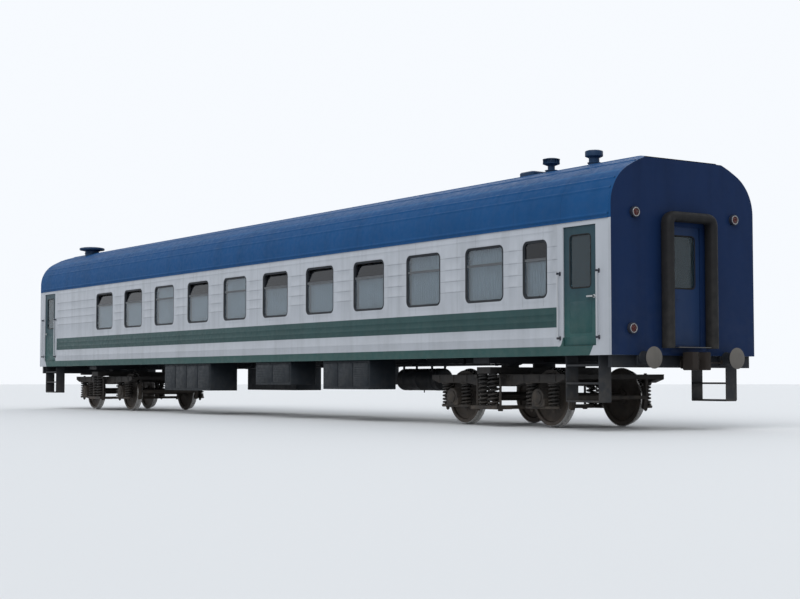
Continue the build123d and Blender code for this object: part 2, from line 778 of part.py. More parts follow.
# Bogie frame: side beams that are deeper in the middle, cross beams, end beams, brake arms and hanging links
with BuildPart() as bogie_frame:
    with BuildSketch(Plane.XZ) as side_beam:
        reach = bogie_half_length
        wing = wheelbase / 2 - wing_reach
        Polygon(
            (reach, beam_top), (-reach, beam_top), (-reach, end_beam_z), (-reach + 200, side_beam_z),
            (-wing, side_beam_z), (-cross_beam_x, side_beam_z - side_beam_belly),
            (cross_beam_x, side_beam_z - side_beam_belly), (wing, side_beam_z), (reach - 200, side_beam_z),
            (reach, end_beam_z), align=None,
        )
    for side in sides:
        placed = side_beam.sketch.moved(Location((0, side * journal_y, 0)))
        extrude(placed, amount=side_beam_width / 2, both=True)
    with Locations(*[(end * cross_beam_x, 0, side_beam_z) for end in ends]):
        Box(cross_beam_width, 2 * journal_y, side_beam_height, align=low)
    with Locations(*[(end * (bogie_half_length - end_beam_width / 2), 0, end_beam_z) for end in ends]):
        Box(end_beam_width, 2 * journal_y, side_beam_end, align=low)
    for start, finish, z in brake_arms:
        with Locations(*[(end * (start + finish) / 2, side * tread_y, z) for end in ends for side in sides]):
            Box(finish - start, 2 * hanger, arm_height, align=low)
    links = [Location((end * link_x, side * bolster_spring_y, 0)) for end in ends for side in sides]
    add_round(((link_radius, plank_z - plank_thickness / 2), (link_radius, beam_top)), 6, *links)
    add_round(((2 * link_radius, plank_z - plank_thickness / 2), (2 * link_radius, plank_z)), 6, *links)
    bracket = bolster_spring_y + 2 * link_radius - journal_y
    for side in sides:
        with Locations(*[(end * link_x, side * (journal_y + bracket / 2), beam_top) for end in ends]):
            Box(3 * link_radius, bracket, arm_height, align=high)
save_bogie_part(bogie_frame.part, "bogie_frame")

# Bolster: a cross beam, deeper between the side beams, that carries the body on its pivot and side bearers
bolster_top = pivot_z - pivot_plate
with BuildPart() as bolster:
    with BuildSketch(Plane.YZ) as bolster_profile:
        inside = journal_y - side_beam_width / 2 - 60
        Polygon(
            (bolster_half_length, bolster_top), (-bolster_half_length, bolster_top),
            (-bolster_half_length, bolster_z), (-inside, bolster_z),
            (-bearer_y, bolster_z - bolster_belly), (bearer_y, bolster_z - bolster_belly),
            (inside, bolster_z), (bolster_half_length, bolster_z), align=None,
        )
    extrude(bolster_profile.sketch, amount=bolster_width / 2, both=True)
    add_round(((pivot_radius, bolster_top), (pivot_radius, pivot_z)), 16, Location())
    with Locations(*[(0, side * bearer_y, bolster_top) for side in sides]):
        Box(bearer_length, bearer_length, pivot_plate, align=low)
    with BuildSketch(Plane.XY.offset(bolster_z)) as socket:
        RegularPolygon(kingpin_radius + kingpin_gap, 16, major_radius=False)
    extrude(socket.sketch, amount=2 * (pivot_z - bolster_z), mode=Mode.SUBTRACT)
save_bogie_part(bolster.part, "bolster")

# Spring plank, broad at its ends where the springs stand on it and the links hold it
with BuildPart() as spring_plank:
    with BuildSketch(Plane.XY.offset(plank_z)):
        Rectangle(plank_width, 2 * bolster_half_length)
        with Locations(*[(end * link_x, side * bolster_spring_y) for end in ends for side in sides]):
            RegularPolygon(link_radius + link_gap, 6, major_radius=False, mode=Mode.SUBTRACT)
        Rectangle(plank_width, 2 * (bolster_spring_y - 2 * bolster_spring_radius), mode=Mode.SUBTRACT)
        Rectangle(plank_width / 2, 2 * bolster_half_length)
    extrude(amount=plank_thickness)
save_bogie_part(spring_plank.part, "spring_plank")

# Axle boxes: a round-backed housing with a cover, on a bar whose wings carry the springs
skirt_z = wing_z + wing_thickness - axle_z
with BuildPart() as left_box:
    with BuildSketch(Plane.XZ) as housing:
        RegularPolygon(box_radius, 12)
        Polygon((-box_radius, 0), (box_radius, 0), (box_skirt, skirt_z), (-box_skirt, skirt_z), align=None)
    extrude(housing.sketch, amount=box_width / 2, both=True)
    with Locations((0, 0, skirt_z)):
        Box(2 * wing_reach, side_beam_width, wing_thickness, align=high)
    with BuildSketch(Plane.XZ.offset(-box_width / 2)) as cover:
        RegularPolygon(cover_radius, 12)
    extrude(cover.sketch, amount=-cover_depth)
    with BuildSketch(Plane.XZ.offset(box_width / 2)) as bore:
        RegularPolygon(journal_radius + journal_gap, 12, major_radius=False, rotation=180 / 12)
    extrude(bore.sketch, amount=journal_cover / 2 - box_width, mode=Mode.SUBTRACT)
with BuildPart() as axle_boxes:
    for end in ends:
        placed = left_box.part.moved(Location((end * wheelbase / 2, journal_y, axle_z)))
        add([placed, turned(placed)])
save_bogie_part(axle_boxes.part, "axle_boxes")

# Springs: two between every axle box's wings and the side beam, four between the plank and the bolster
with BuildPart() as springs:
    places = [Location((x + end * box_spring_x, y, 0)) for x, y in corners for end in ends]
    add_round(((box_spring_radius, wing_z + wing_thickness), (box_spring_radius, side_beam_z)), 8, *places)
    places = [Location((end * bolster_spring_x, side * bolster_spring_y, 0)) for end in ends for side in sides]
    spring = ((bolster_spring_radius, plank_z + plank_thickness), (bolster_spring_radius, bolster_z))
    add_round(spring, 8, *places)
save_bogie_part(springs.part, "springs")

# Brake gear: a shoe on each side of every wheel, hung from the frame and joined in pairs by beams
shoe_turns = [shoe_half_angle * (2 * step / 3 - 1) for step in range(4)]
shoe_face = (tread_radius + shoe_gap) / cos(radians(shoe_half_angle / 3))
with BuildPart() as shoe:
    with BuildSketch(Plane.XZ):
        edge = [(shoe_face, radians(turn)) for turn in shoe_turns]
        edge += [(shoe_reach, radians(turn)) for turn in reversed(shoe_turns)]
        Polygon(*[(radius * cos(turn), radius * sin(turn)) for radius, turn in edge], align=None)
    extrude(amount=shoe_width / 2, both=True)
with BuildPart() as brake_gear:
    for end in ends:
        for out in (1, -1):
            x = end * (wheelbase / 2 + out * shoe_reach)
            facing = 0 if end * out > 0 else 180
            hanger_top = end_beam_z if out > 0 else side_beam_z
            for side in sides:
                place = Location((end * wheelbase / 2, side * tread_y, axle_z), (0, 0, facing))
                add(shoe.part.moved(place))
                with Locations((x, side * tread_y, axle_z)):
                    Box(hanger, 1.6 * hanger, hanger_top - axle_z, align=low)
            with Locations((x, 0, axle_z)):
                Box(hanger, 2 * tread_y, 2 * hanger)
save_bogie_part(brake_gear.part, "brake_gear")

# Wheelsets, each one solid: an axle with its hubs and journals, and two flanged wheels with dished faces
with BuildPart() as wheelset:
    outer_y = wheel_inner_y + wheel_width
    across = Location((0, 0, 0), (-90, 0, 0))
    tread_start = (tread_radius, wheel_inner_y + flange_width)
    add_round(((flange_radius, wheel_inner_y), tread_start, (tread_radius - tread_taper, outer_y)), 32, across)
    dish = ((hub_radius, outer_y - dish_depth), (tread_radius - rim_depth, outer_y))
    add_round(dish, 32, across, mode=Mode.SUBTRACT)
    journal_start = journal_y - box_width / 2 - hub_recess
    journal_end = journal_y + box_width / 2 - journal_cover
    add_round(((hub_radius, wheel_inner_y - hub_recess), (hub_radius, outer_y - hub_recess)), 16, across)
    add_round(((axle_radius, outer_y - wheel_width / 2), (axle_radius, journal_start)), 12, across)
    add_round(((journal_radius, journal_start), (journal_radius, journal_end)), 12, across)
    mirror(about=Plane.XZ)
    with Locations(across):
        Cylinder(axle_radius, 2 * wheel_inner_y)
number = 0
for bogie_x in (pivot_x, -pivot_x):
    for x in (wheelbase / 2, -wheelbase / 2):
        number += 1
        save(wheelset.part.moved(Location((bogie_x + x, 0, axle_z))), f"wheelset_{number}")
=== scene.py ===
import bpy
import numpy as np
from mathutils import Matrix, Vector


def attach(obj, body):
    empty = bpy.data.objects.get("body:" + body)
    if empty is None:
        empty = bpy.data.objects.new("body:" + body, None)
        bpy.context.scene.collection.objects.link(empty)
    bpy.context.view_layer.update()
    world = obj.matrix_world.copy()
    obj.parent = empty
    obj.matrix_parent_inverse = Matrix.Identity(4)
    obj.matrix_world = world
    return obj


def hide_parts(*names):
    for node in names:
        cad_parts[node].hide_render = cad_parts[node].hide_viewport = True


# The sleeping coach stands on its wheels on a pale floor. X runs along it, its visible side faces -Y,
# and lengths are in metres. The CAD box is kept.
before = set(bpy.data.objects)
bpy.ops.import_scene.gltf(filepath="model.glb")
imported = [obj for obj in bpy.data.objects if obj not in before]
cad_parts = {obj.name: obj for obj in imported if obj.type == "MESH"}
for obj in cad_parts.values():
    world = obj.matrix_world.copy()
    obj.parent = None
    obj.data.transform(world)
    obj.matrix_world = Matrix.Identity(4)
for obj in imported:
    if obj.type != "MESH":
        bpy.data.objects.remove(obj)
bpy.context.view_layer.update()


def new_object(name, data):
    made = bpy.data.objects.new(name, data)
    bpy.context.collection.objects.link(made)
    return made


# The camera stands low beside the track ahead of the coach, and looks back along it.
camera = new_object("camera", bpy.data.cameras.new("camera"))
camera.location = (28.9, -16.88, 0.79)
camera.data.lens = 67.2
camera.data.clip_end = 300
heading, climb = np.radians((34.1, 3.1))
aim = Vector((-np.cos(heading) * np.cos(climb), np.sin(heading) * np.cos(climb), np.sin(climb)))
camera.rotation_euler = aim.to_track_quat("-Z", "Y").to_euler()
bpy.context.scene.camera = camera

# Studio: an even white surround, one broad lamp over the visible side and a fainter one behind.
LIGHT_ON_COACH = 0.62
FLOOR_REACH = 260


def sun(name, strength, direction, spread):
    lamp = new_object(name, bpy.data.lights.new(name, "SUN"))
    lamp.data.energy = strength
    lamp.data.angle = np.radians(spread)
    lamp.rotation_euler = Vector(direction).to_track_quat("-Z", "Y").to_euler()


sun("key_light", 1.5, (-0.45, 0.7, -0.75), 50)
sun("back_light", 0.6, (0.5, -0.75, -0.6), 60)
bpy.context.scene.view_settings.view_transform = "Standard"
world = bpy.data.worlds.new("studio")
bpy.context.scene.world = world
world.use_nodes = True


def plug(target, **inputs):
    """Sets a node's sockets, named or numbered from i0, each to a value or to another node's output."""
    for key, value in inputs.items():
        socket = target.inputs[int(key[1:]) if key[1:].isdigit() else key.replace("_", " ")]
        if isinstance(value, bpy.types.NodeSocket):
            target.id_data.links.new(value, socket)
        else:
            socket.default_value = (*value, 1) if socket.type == "RGBA" else value
    return target


def node(tree, kind, settings=(), **inputs):
    made = tree.nodes.new("ShaderNode" + kind)
    for setting, value in dict(settings).items():
        setattr(made, setting, value)
    return plug(made, **inputs)


def maths(tree, operation, a, b=0.0):
    return node(tree, "Math", {"operation": operation}, i0=a, i1=b).outputs[0]


def times(tree, a, b):
    return maths(tree, "MULTIPLY", a, b)


def seen_white(tree, ordinary):
    """1 for what the camera, gloss and glass see, and the ordinary level for light on the object."""
    path = node(tree, "LightPath")
    seen = maths(tree, "MAXIMUM", path.outputs["Is Camera Ray"], path.outputs["Is Glossy Ray"])
    seen = maths(tree, "MAXIMUM", seen, path.outputs["Is Transmission Ray"])
    return maths(tree, "ADD", times(tree, seen, 1 - ordinary), ordinary)


def new_material(name):
    """A material, its node tree and its shader."""
    material = bpy.data.materials.new(name)
    material.use_nodes = True
    return material, material.node_tree, material.node_tree.nodes["Principled BSDF"]


background = world.node_tree.nodes["Background"]
plug(background, Color=(0.93, 0.96, 1.0), Strength=seen_white(world.node_tree, LIGHT_ON_COACH))
floor_material, _, floor_shader = new_material("studio_floor")
plug(floor_shader, Base_Color=(0.72, 0.74, 0.76), Roughness=0.9)
floor_corners = [(FLOOR_REACH * u, FLOOR_REACH * v, 0) for u, v in ((-1, -1), (1, -1), (1, 1), (-1, 1))]
floor_mesh = bpy.data.meshes.new("studio_floor")
floor_mesh.from_pydata(floor_corners, [], [(0, 1, 2, 3)])
floor_mesh.materials.append(floor_material)
studio_floor = new_object("studio_floor", floor_mesh)

# Roof and cantrails: pressed steel sheets welded edge to edge and painted, with long ribs that stiffen them,
# a rain gutter along each eave and sloped-down ends. Inside, boards line the slopes and make a flat ceiling.
HALF = 23.95 / 2
SIDE = 1.5525
RAIL = 0.028
WALL = 0.06
SKIN_END = HALF - WALL
EAVE = RAIL + 3.245
CEILING = RAIL + 3.65
ROOF_TOP = RAIL + 4.378
CROWN_RADIUS = 2.4
SHOULDER_RADIUS = 0.7
CROWN_CENTRE = ROOF_TOP - CROWN_RADIUS
SHOULDER_Y = SIDE - SHOULDER_RADIUS
SHOULDER_Z = CROWN_CENTRE + np.sqrt((CROWN_RADIUS - SHOULDER_RADIUS) ** 2 - SHOULDER_Y**2)
CROWN_EDGE = np.arctan2(SHOULDER_Z - CROWN_CENTRE, SHOULDER_Y)
END_SLOPE = 0.95
END_DROP = 0.15
RIB_WIDTH, RIB_HEIGHT = 0.05, 0.011
CROWN_RIBS_Y = (0.0, 0.33, 0.66, 0.98)
SHOULDER_RIBS_Z = (3.34, 3.74, 3.9)
# Heights of the painted highlight, a paler strip along the crown's edges where the roof faces the sky.
CROWN_HIGHLIGHT_Z = (4.012, 4.045)
ROOF_BLUE = (0.008, 0.064, 0.186)
STREAK_SHADE = 0.62


def blend_colours(tree, share, a, b):
    return node(tree, "Mix", {"data_type": "RGBA", "clamp_factor": True}, i0=share, i6=a, i7=b).outputs[2]


def own_place(tree):
    return node(tree, "TexCoord").outputs["Object"]


def place_of(tree):
    return node(tree, "SeparateXYZ", Vector=own_place(tree)).outputs


def noise(tree, scale, stretch=(1, 1, 1), detail=4):
    """Cloudy pattern in the piece's own coordinates, in spots about 1 / scale metres across."""
    mapped = node(tree, "Mapping", Vector=own_place(tree), Scale=stretch).outputs[0]
    return node(tree, "TexNoise", Vector=mapped, Scale=scale, Detail=detail, Roughness=0.55).outputs["Fac"]


def ramp(tree, value, start, finish, low=0.0, high=1.0, shape="SMOOTHSTEP"):
    """Goes from low to high as the value goes from start to finish."""
    settings = {"interpolation_type": shape}
    ends = {"From_Min": start, "From_Max": finish, "To_Min": low, "To_Max": high}
    return node(tree, "MapRange", settings, Value=value, **ends).outputs[0]


def band(tree, value, low, high, edge=0.004):
    """1 between low and high, with narrow soft edges, and 0 outside."""
    rise = ramp(tree, value, low - edge, low + edge, shape="LINEAR")
    fall = ramp(tree, value, high - edge, high + edge, shape="LINEAR")
    return maths(tree, "SUBTRACT", rise, fall)


def emboss(tree, shader, strength, distance, height):
    relief = node(tree, "Bump", Strength=strength, Distance=distance, Height=height)
    plug(shader, Normal=relief.outputs[0])


def paint(
    name, colour, gloss=0.42, metallic=0.0, streaks=0.16, dust=(0.26, 0.235, 0.2), dust_z=(0.9, 2.0),
    dust_most=0.3, grain=90, relief=0.0006, mottle=3.0, pattern=None, shine=0.12,
):
    """A finish of one colour, or of the colour that pattern(tree) works out. It has rain streaks that run down,
    dust that thickens downwards between two heights, and a faint unevenness in gloss and relief."""
    material, tree, shader = new_material(name)
    base = pattern(tree) if pattern else colour
    shade = tuple(channel * STREAK_SHADE for channel in colour)
    if pattern:
        shade = node(tree, "VectorMath", {"operation": "SCALE"}, Vector=base, Scale=STREAK_SHADE).outputs[0]
    runs = ramp(tree, noise(tree, mottle, (1.6, 1.6, 0.14)), 0.42, 0.72, 0.0, streaks)
    clouds = ramp(tree, noise(tree, mottle * 0.5), 0.35, 0.75, 0.0, streaks * 0.7)
    tinted = blend_colours(tree, maths(tree, "ADD", runs, clouds), base, shade)
    dusty = ramp(tree, place_of(tree)[2], *dust_z, dust_most, 0.03)
    patches = ramp(tree, noise(tree, 7.0, detail=6), 0.3, 0.75, 0.25, 1.0)
    tinted = blend_colours(tree, times(tree, dusty, patches), tinted, dust)
    rough = ramp(tree, noise(tree, 11.0), 0.3, 0.7, gloss - 0.06, gloss + 0.1)
    plug(shader, Base_Color=tinted, Roughness=rough, Metallic=metallic, Specular_IOR_Level=shine)
    emboss(tree, shader, 0.35, relief, noise(tree, grain, detail=3))
    return material


def quads(rows, columns, around=False):
    """Faces between neighbours on a grid of points. Around joins the last column to the first."""
    i, j = np.meshgrid(np.arange(rows - 1), np.arange(columns if around else columns - 1), indexing="ij")
    row, k = i * columns, (j + 1) % columns
    return np.stack([row + j, row + k, row + columns + k, row + columns + j], -1).reshape(-1, 4)


def grid(points, around=False):
    """A surface, its points and its faces, through a rows by columns by 3 array of points."""
    return points.reshape(-1, 3), quads(*points.shape[:2], around).tolist()


def flipped(surface):
    return surface[0], [face[::-1] for face in surface[1]]


def merged(surfaces):
    """Several surfaces as one, with their faces' numbers moved on."""
    starts = np.cumsum([0] + [len(points) for points, _ in surfaces]).tolist()
    faces = [[corner + start for corner in face] for (_, part), start in zip(surfaces, starts) for face in part]
    return np.concatenate([points for points, _ in surfaces]), faces


def mirrored(surface, axis=1):
    """A surface with its mirror image across the plane where that axis is zero."""
    flip = np.ones(3)
    flip[axis] = -1
    return merged([surface, flipped((surface[0] * flip, surface[1]))])


def closed(surface, count):
    """A surface whose rows are rings of so many points, with its first and last rings filled."""
    points, faces = surface
    last = len(points) - count
    return points, faces + [list(range(count))[::-1], list(range(last, last + count))]


def stacked(outlines, levels, axis=2):
    """A closed form through outlines that all have as many points, each at its level along the axis."""
    u, v = [(1, 2), (2, 0), (0, 1)][axis]
    outlines = np.array(outlines)
    points = np.zeros((*outlines.shape[:2], 3))
    points[..., u] = outlines[..., 0]
    points[..., v] = outlines[..., 1]
    points[..., axis] = np.array(levels)[:, None]
    return closed(grid(points, around=True), outlines.shape[1])


def along_body(outline, low=-SKIN_END, high=SKIN_END):
    """A closed outline of (y, z) points carried straight along the coach, with its ends closed."""
    return stacked([outline, outline], [low, high], axis=0)


def piece(name, parts, body="car_body", stands_for=(), crease=38):
    """Makes an object from (material, surface) pairs, rides it on its body and hides the CAD parts it stands
    for.
    """
    points, faces = merged([surface for _, surface in parts])
    mesh = bpy.data.meshes.new(name)
    mesh.from_pydata(points.tolist(), [], faces)
    marks = np.concatenate([np.full(len(surface[1]), i) for i, (_, surface) in enumerate(parts)])
    for material, _ in parts:
        mesh.materials.append(material)
    mesh.polygons.foreach_set("material_index", marks.astype(np.int32))
    mesh.polygons.foreach_set("use_smooth", np.ones(len(faces), bool))
    mesh.set_sharp_from_angle(angle=np.radians(crease))
    mesh.validate()
    made = new_object(name, mesh)
    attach(made, body)
    if stands_for:
        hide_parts(*stands_for)
    return made


def body_section(inset, foot, step=0.012):
    """Right half of the body's section from foot up to the crown's middle: points and outward directions.
    The side is upright, the shoulder is an arc, and the crown is a wider arc that runs on from it."""
    shoulder, crown = SHOULDER_RADIUS - inset, CROWN_RADIUS - inset
    rise = np.arange(foot, SHOULDER_Z, step)
    a = np.arange(0, CROWN_EDGE, step / shoulder)
    b = np.linspace(CROWN_EDGE, np.pi / 2, int((np.pi / 2 - CROWN_EDGE) * crown / step))
    upright = np.full(len(rise), SIDE - inset)
    y = np.concatenate([upright, SHOULDER_Y + shoulder * np.cos(a), crown * np.cos(b)])
    z = np.concatenate([rise, SHOULDER_Z + shoulder * np.sin(a), CROWN_CENTRE + crown * np.sin(b)])
    out = np.concatenate([np.zeros(len(rise)), a, b])
    return y, z, np.cos(out), np.sin(out)


def rib_relief(distance):
    """A pressed rib: flat on top, and it falls away on both sides over a third of its width."""
    share = np.clip((RIB_WIDTH / 2 - np.abs(distance)) * 3 / RIB_WIDTH, 0, 1)
    return RIB_HEIGHT * share**1.5


def end_drop(x, inset=0.0):
    """How high the roof may reach at x: level over the ribs, then sloped down towards both ends."""
    past = np.clip((np.abs(x) - HALF + END_SLOPE) / END_SLOPE, 0, 1)
    return ROOF_TOP - inset + 0.012 - END_DROP * past * (0.35 * past + 0.65)


def both_halves(half):
    """The right half of a section with its left half."""
    return np.concatenate([half, half[-2::-1] * (-1, 1)])


def shell(half, inset=0.0):
    """A half section and its mirror image, carried along the coach and held down under the sloped ends."""
    section = both_halves(half)
    slope = np.linspace(HALF - END_SLOPE, SKIN_END, 14)
    level = np.linspace(END_SLOPE - HALF, HALF - END_SLOPE, 24)[1:-1]
    stations = np.concatenate([-slope[::-1], level, slope])
    points = np.zeros((len(stations), len(section), 3))
    points[..., 0] = stations[:, None]
    points[..., 1] = section[:, 0]
    points[..., 2] = np.minimum(section[:, 1], end_drop(stations, inset)[:, None])
    return grid(points)


y, z, out_y, out_z = body_section(0, EAVE)
girth = np.concatenate([[0], np.cumsum(np.hypot(np.diff(y), np.diff(z)))])
arched = z > SHOULDER_Z
ribs = [np.interp(-rib_y, -y[arched], girth[arched]) for rib_y in CROWN_RIBS_Y]
ribs += [np.interp(rib_z, z, girth) for rib_z in SHOULDER_RIBS_Z]
relief = sum(rib_relief(girth - rib) for rib in ribs)
half_skin = np.stack([y + relief * out_y, z + relief * out_z], -1)
lining_y = SIDE - WALL
y, z, _, _ = body_section(WALL, EAVE)
below = z < CEILING
half_lining = np.stack([y[below], z[below]], -1)
half_lining = np.concatenate([half_lining, [(half_lining[-1, 0], CEILING), (0, CEILING)]])
eave_strip = [(SIDE, EAVE), (SIDE, EAVE + 0.001), (lining_y, EAVE + 0.001), (lining_y, EAVE)]
gutter = np.array([(0, 0), (0.016, 0), (0.016, 0.022), (0.0135, 0.022), (0.0135, 0.003), (0, 0.003)])
gutter += (SIDE, EAVE)


def roof_sheets(tree):
    """Blue, with a thin dark weld across the roof every 1.2 m, and a painted highlight: a paler strip along the
    crown's edges, where the roof turns up to the sky.
    """
    x, _, z = place_of(tree)
    weld = band(tree, maths(tree, "PINGPONG", x, 0.6), -1, 0.004, 0.002)
    colour = blend_colours(tree, times(tree, weld, 0.5), ROOF_BLUE, (0.006, 0.03, 0.09))
    # Painted highlight: a paler strip near the crown's edges, where the roof faces the sky.
    painted_highlight = times(tree, band(tree, z, *CROWN_HIGHLIGHT_Z, 0.012), 0.35)
    return blend_colours(tree, painted_highlight, colour, (0.03, 0.13, 0.29))


roof_blue = paint(
    "roof_blue", ROOF_BLUE, gloss=0.5, streaks=0.3, dust_most=0.02, mottle=1.3, pattern=roof_sheets, shine=0.05,
)
lining_white = paint("lining_white", (0.34, 0.32, 0.28), gloss=0.5, streaks=0.05, dust_most=0.0, grain=160)
piece(
    "roof_skin",
    [(roof_blue, shell(half_skin)), (lining_white, flipped(shell(half_lining, WALL))),
     (roof_blue, mirrored(along_body(gutter))), (roof_blue, mirrored(along_body(eave_strip)))],
    stands_for=("roof", "cantrails"),
)

# Side walls: steel sheets with pressed beads along them. Each window sits in a pressed surround of its own,
# whose seams run up and down beside it, and boards line the wall inside.
SILL = RAIL + 1.15
WALL_END = 10.72
WINDOW_Z = 2.58
WINDOW_HEIGHT = 0.945
WINDOW_CORNER = 0.115
SURROUND = 0.09
PITCH = 1.8
FIRST_WINDOW = -7.4
WINDOWS = [(FIRST_WINDOW + PITCH * number, 1.065) for number in range(10)] + [(10.155, 0.625)]
LONG_BEADS = [RAIL + height for height in (1.44, 1.70, 1.81, 3.15)]
SHORT_BEADS = [RAIL + height for height in (2.31, 2.50, 2.70, 2.91)]
BEAD_OUT = np.array((0.004, 0.010, 0.017))
BEAD_RISE = (0.006, 0.0045, 0)
BAND_LOW = WINDOW_Z - WINDOW_HEIGHT / 2 - SURROUND
BAND_HIGH = WINDOW_Z + WINDOW_HEIGHT / 2 + SURROUND
# The sides' white is greyer than their off-white paint: the paint's own colour with painted shade in it.
SHADED_WHITE = (0.41, 0.436, 0.478)
GREEN = (0.020, 0.058, 0.060)
PALE_GREEN = (0.022, 0.072, 0.070)


def rounded(half_u, half_v, radius, steps=6):
    """Outline of a rectangle with round corners, as (u, v) points in order, anticlockwise."""
    turn = np.linspace(0, np.pi / 2, steps + 1) + np.arange(4)[:, None] * np.pi / 2
    u = np.array((1, -1, -1, 1))[:, None] * (half_u - radius) + radius * np.cos(turn)
    v = np.array((1, 1, -1, -1))[:, None] * (half_v - radius) + radius * np.sin(turn)
    return np.stack([u.ravel(), v.ravel()], -1)


def moved(surface, *offsets):
    """Copies of a surface, one at each offset."""
    return merged([(surface[0] + np.array(offset), surface[1]) for offset in offsets])


def beaded(left, right, foot, top, beads, end_gap=0.09):
    """A flat sheet of the right side with beads pressed outwards along it, which fade out before its ends."""
    heights = [foot, top]
    for bead in beads:
        heights += [*(bead - BEAD_OUT), *(bead + BEAD_OUT)]
    heights = np.sort(heights)
    gaps = np.array((0, end_gap, end_gap + 0.02))
    across = np.concatenate([left + gaps, right - gaps[::-1]])
    rise = sum([np.interp(np.abs(heights - bead), BEAD_OUT, BEAD_RISE) for bead in beads])
    fade = np.array((0, 0, 1, 1, 0, 0.0))
    points = np.zeros((len(heights), len(across), 3))
    points[..., 0] = across
    points[..., 1] = -SIDE - np.multiply.outer(rise, fade)
    points[..., 2] = heights[:, None]
    return grid(points)


def around_window(width, rows):
    """A ring of the right side about a window's middle. Each row is an outline: how far outside the window's
    edge, its corner's radius, and how far the sheet stands proud there."""
    outlines = [rounded(width / 2 + out, WINDOW_HEIGHT / 2 + out, corner, 8) for out, corner, _ in rows]
    outlines = np.array(outlines)
    points = np.zeros((*outlines.shape[:2], 3))
    points[..., 0] = outlines[..., 0]
    points[..., 1] = -SIDE - np.array([proud for _, _, proud in rows])[:, None]
    points[..., 2] = outlines[..., 1] + WINDOW_Z
    return flipped(grid(points, around=True))


pressed = [
    (0, WINDOW_CORNER, -WALL), (0, WINDOW_CORNER, 0.001), (0.003, WINDOW_CORNER + 0.003, 0.004),
    (0.040, WINDOW_CORNER + 0.03, 0.004), (0.052, WINDOW_CORNER + 0.04, 0), (SURROUND, 0.0005, 0),
]
lined = [(SURROUND, 0.0005, -WALL), (0, WINDOW_CORNER, -WALL)]
outside, inside = [], []
edges = [-WALL_END]
for window_x, width in WINDOWS:
    outside.append(moved(around_window(width, pressed), (window_x, 0, 0)))
    inside.append(moved(around_window(width, lined), (window_x, 0, 0)))
    edges += [window_x - width / 2 - SURROUND, window_x + width / 2 + SURROUND]
edges.append(WALL_END)
for left, right in zip(edges[::2], edges[1::2]):
    outside.append(beaded(left, right, BAND_LOW, BAND_HIGH, SHORT_BEADS, min(0.05, (right - left) / 4)))
    inside.append(moved(flipped(beaded(left, right, BAND_LOW, BAND_HIGH, [], 0.02)), (0, WALL, 0)))
for foot, top, beads in ((SILL, BAND_LOW, LONG_BEADS[:3]), (BAND_HIGH, EAVE, LONG_BEADS[3:])):
    outside.append(beaded(-WALL_END, WALL_END, foot, top, beads))
    inside.append(moved(flipped(beaded(-WALL_END, WALL_END, foot, top, [])), (0, WALL, 0)))
rear_foot, front_foot = (-WALL_END, SILL), (WALL_END, SILL)
for ends in ((rear_foot, front_foot), (rear_foot, (-WALL_END, EAVE)), (front_foot, (WALL_END, EAVE))):
    outside.append(grid(np.array([[(x, -depth, z) for x, z in ends] for depth in (SIDE, lining_y)])))


def livery(tree):
    """White, with a green band along the foot, a broad green stripe under the windows, thin shadow lines under
    the beads, and dark seams beside the windows."""
    x, y, z = place_of(tree)
    colour = blend_colours(tree, band(tree, z, RAIL + 1.60, RAIL + 1.92), SHADED_WHITE, GREEN)
    colour = blend_colours(tree, band(tree, z, RAIL + 1.0, RAIL + 1.30), colour, PALE_GREEN)
    for bead in SHORT_BEADS:
        line = times(tree, band(tree, z, bead - 0.021, bead - 0.015, 0.002), 0.55)
        colour = blend_colours(tree, line, colour, (0.05, 0.055, 0.06))
    turned_x = times(tree, x, maths(tree, "SIGN", y))
    within = maths(tree, "PINGPONG", maths(tree, "ADD", turned_x, 10 * PITCH - FIRST_WINDOW), PITCH / 2)
    seam = times(tree, band(tree, within, 0.628, 0.634, 0.002), band(tree, z, RAIL + 1.95, EAVE))
    return blend_colours(tree, times(tree, seam, 0.5), colour, (0.06, 0.065, 0.07))


side_paint = paint(
    "side_paint", SHADED_WHITE, gloss=0.4, pattern=livery, streaks=0.3, dust_z=(1.1, 2.2), dust_most=0.09,
)
lining_board = paint("lining_board", (0.42, 0.33, 0.21), gloss=0.35, streaks=0.25, dust_most=0.0, mottle=6)
for name, turn in (("right", 1), ("left", -1)):
    skins = []
    for material, surfaces in ((side_paint, outside), (lining_board, inside)):
        points, faces = merged(surfaces)
        skins.append((material, (points * (turn, turn, 1), faces)))
    piece(f"side_skin_{name}", skins, stands_for=(f"side_wall_{name}",), crease=30)

# Window frames: each a dark rubber-edged rim round the opening, with a grey metal bar across that has two thin
# ridges, above which the vent opens.
FRAME_Y = SIDE - 0.03
BAR_Z = WINDOW_Z + WINDOW_HEIGHT * (0.5 - 0.33)
RIM = ((0, -0.052), (0, 0.0), (-0.004, 0.0045), (-0.014, 0.0045), (-0.018, -0.003), (-0.038, -0.004),
       (-0.042, -0.010), (-0.042, -0.052), (0, -0.052))


def block(low, high, edge=0.01, axis=2, corner=None):
    """A bar or plate with rounded corners along one axis and bevelled ends."""
    low, high = np.minimum(low, high), np.maximum(low, high)
    u, v = [(1, 2), (2, 0), (0, 1)][axis]
    middle, half = (low + high) / 2, (high - low) / 2
    corner = edge if corner is None else corner
    edge = min(edge, half[axis] * 0.9, half[u] * 0.9, half[v] * 0.9)
    corner = min(max(corner, edge * 1.01), half[u] * 0.98, half[v] * 0.98)
    full = rounded(half[u], half[v], corner, 4)
    small = full * (1 - edge / np.array((half[u], half[v])))
    ends = [-half[axis], -half[axis] + edge, half[axis] - edge, half[axis]]
    points, faces = stacked([small, full, full, small], ends, axis)
    return points + middle, faces


def half_turned(surface):
    """A surface with its copy turned half round about the coach's upright centre line."""
    return merged([surface, (surface[0] * (-1, -1, 1), surface[1])])


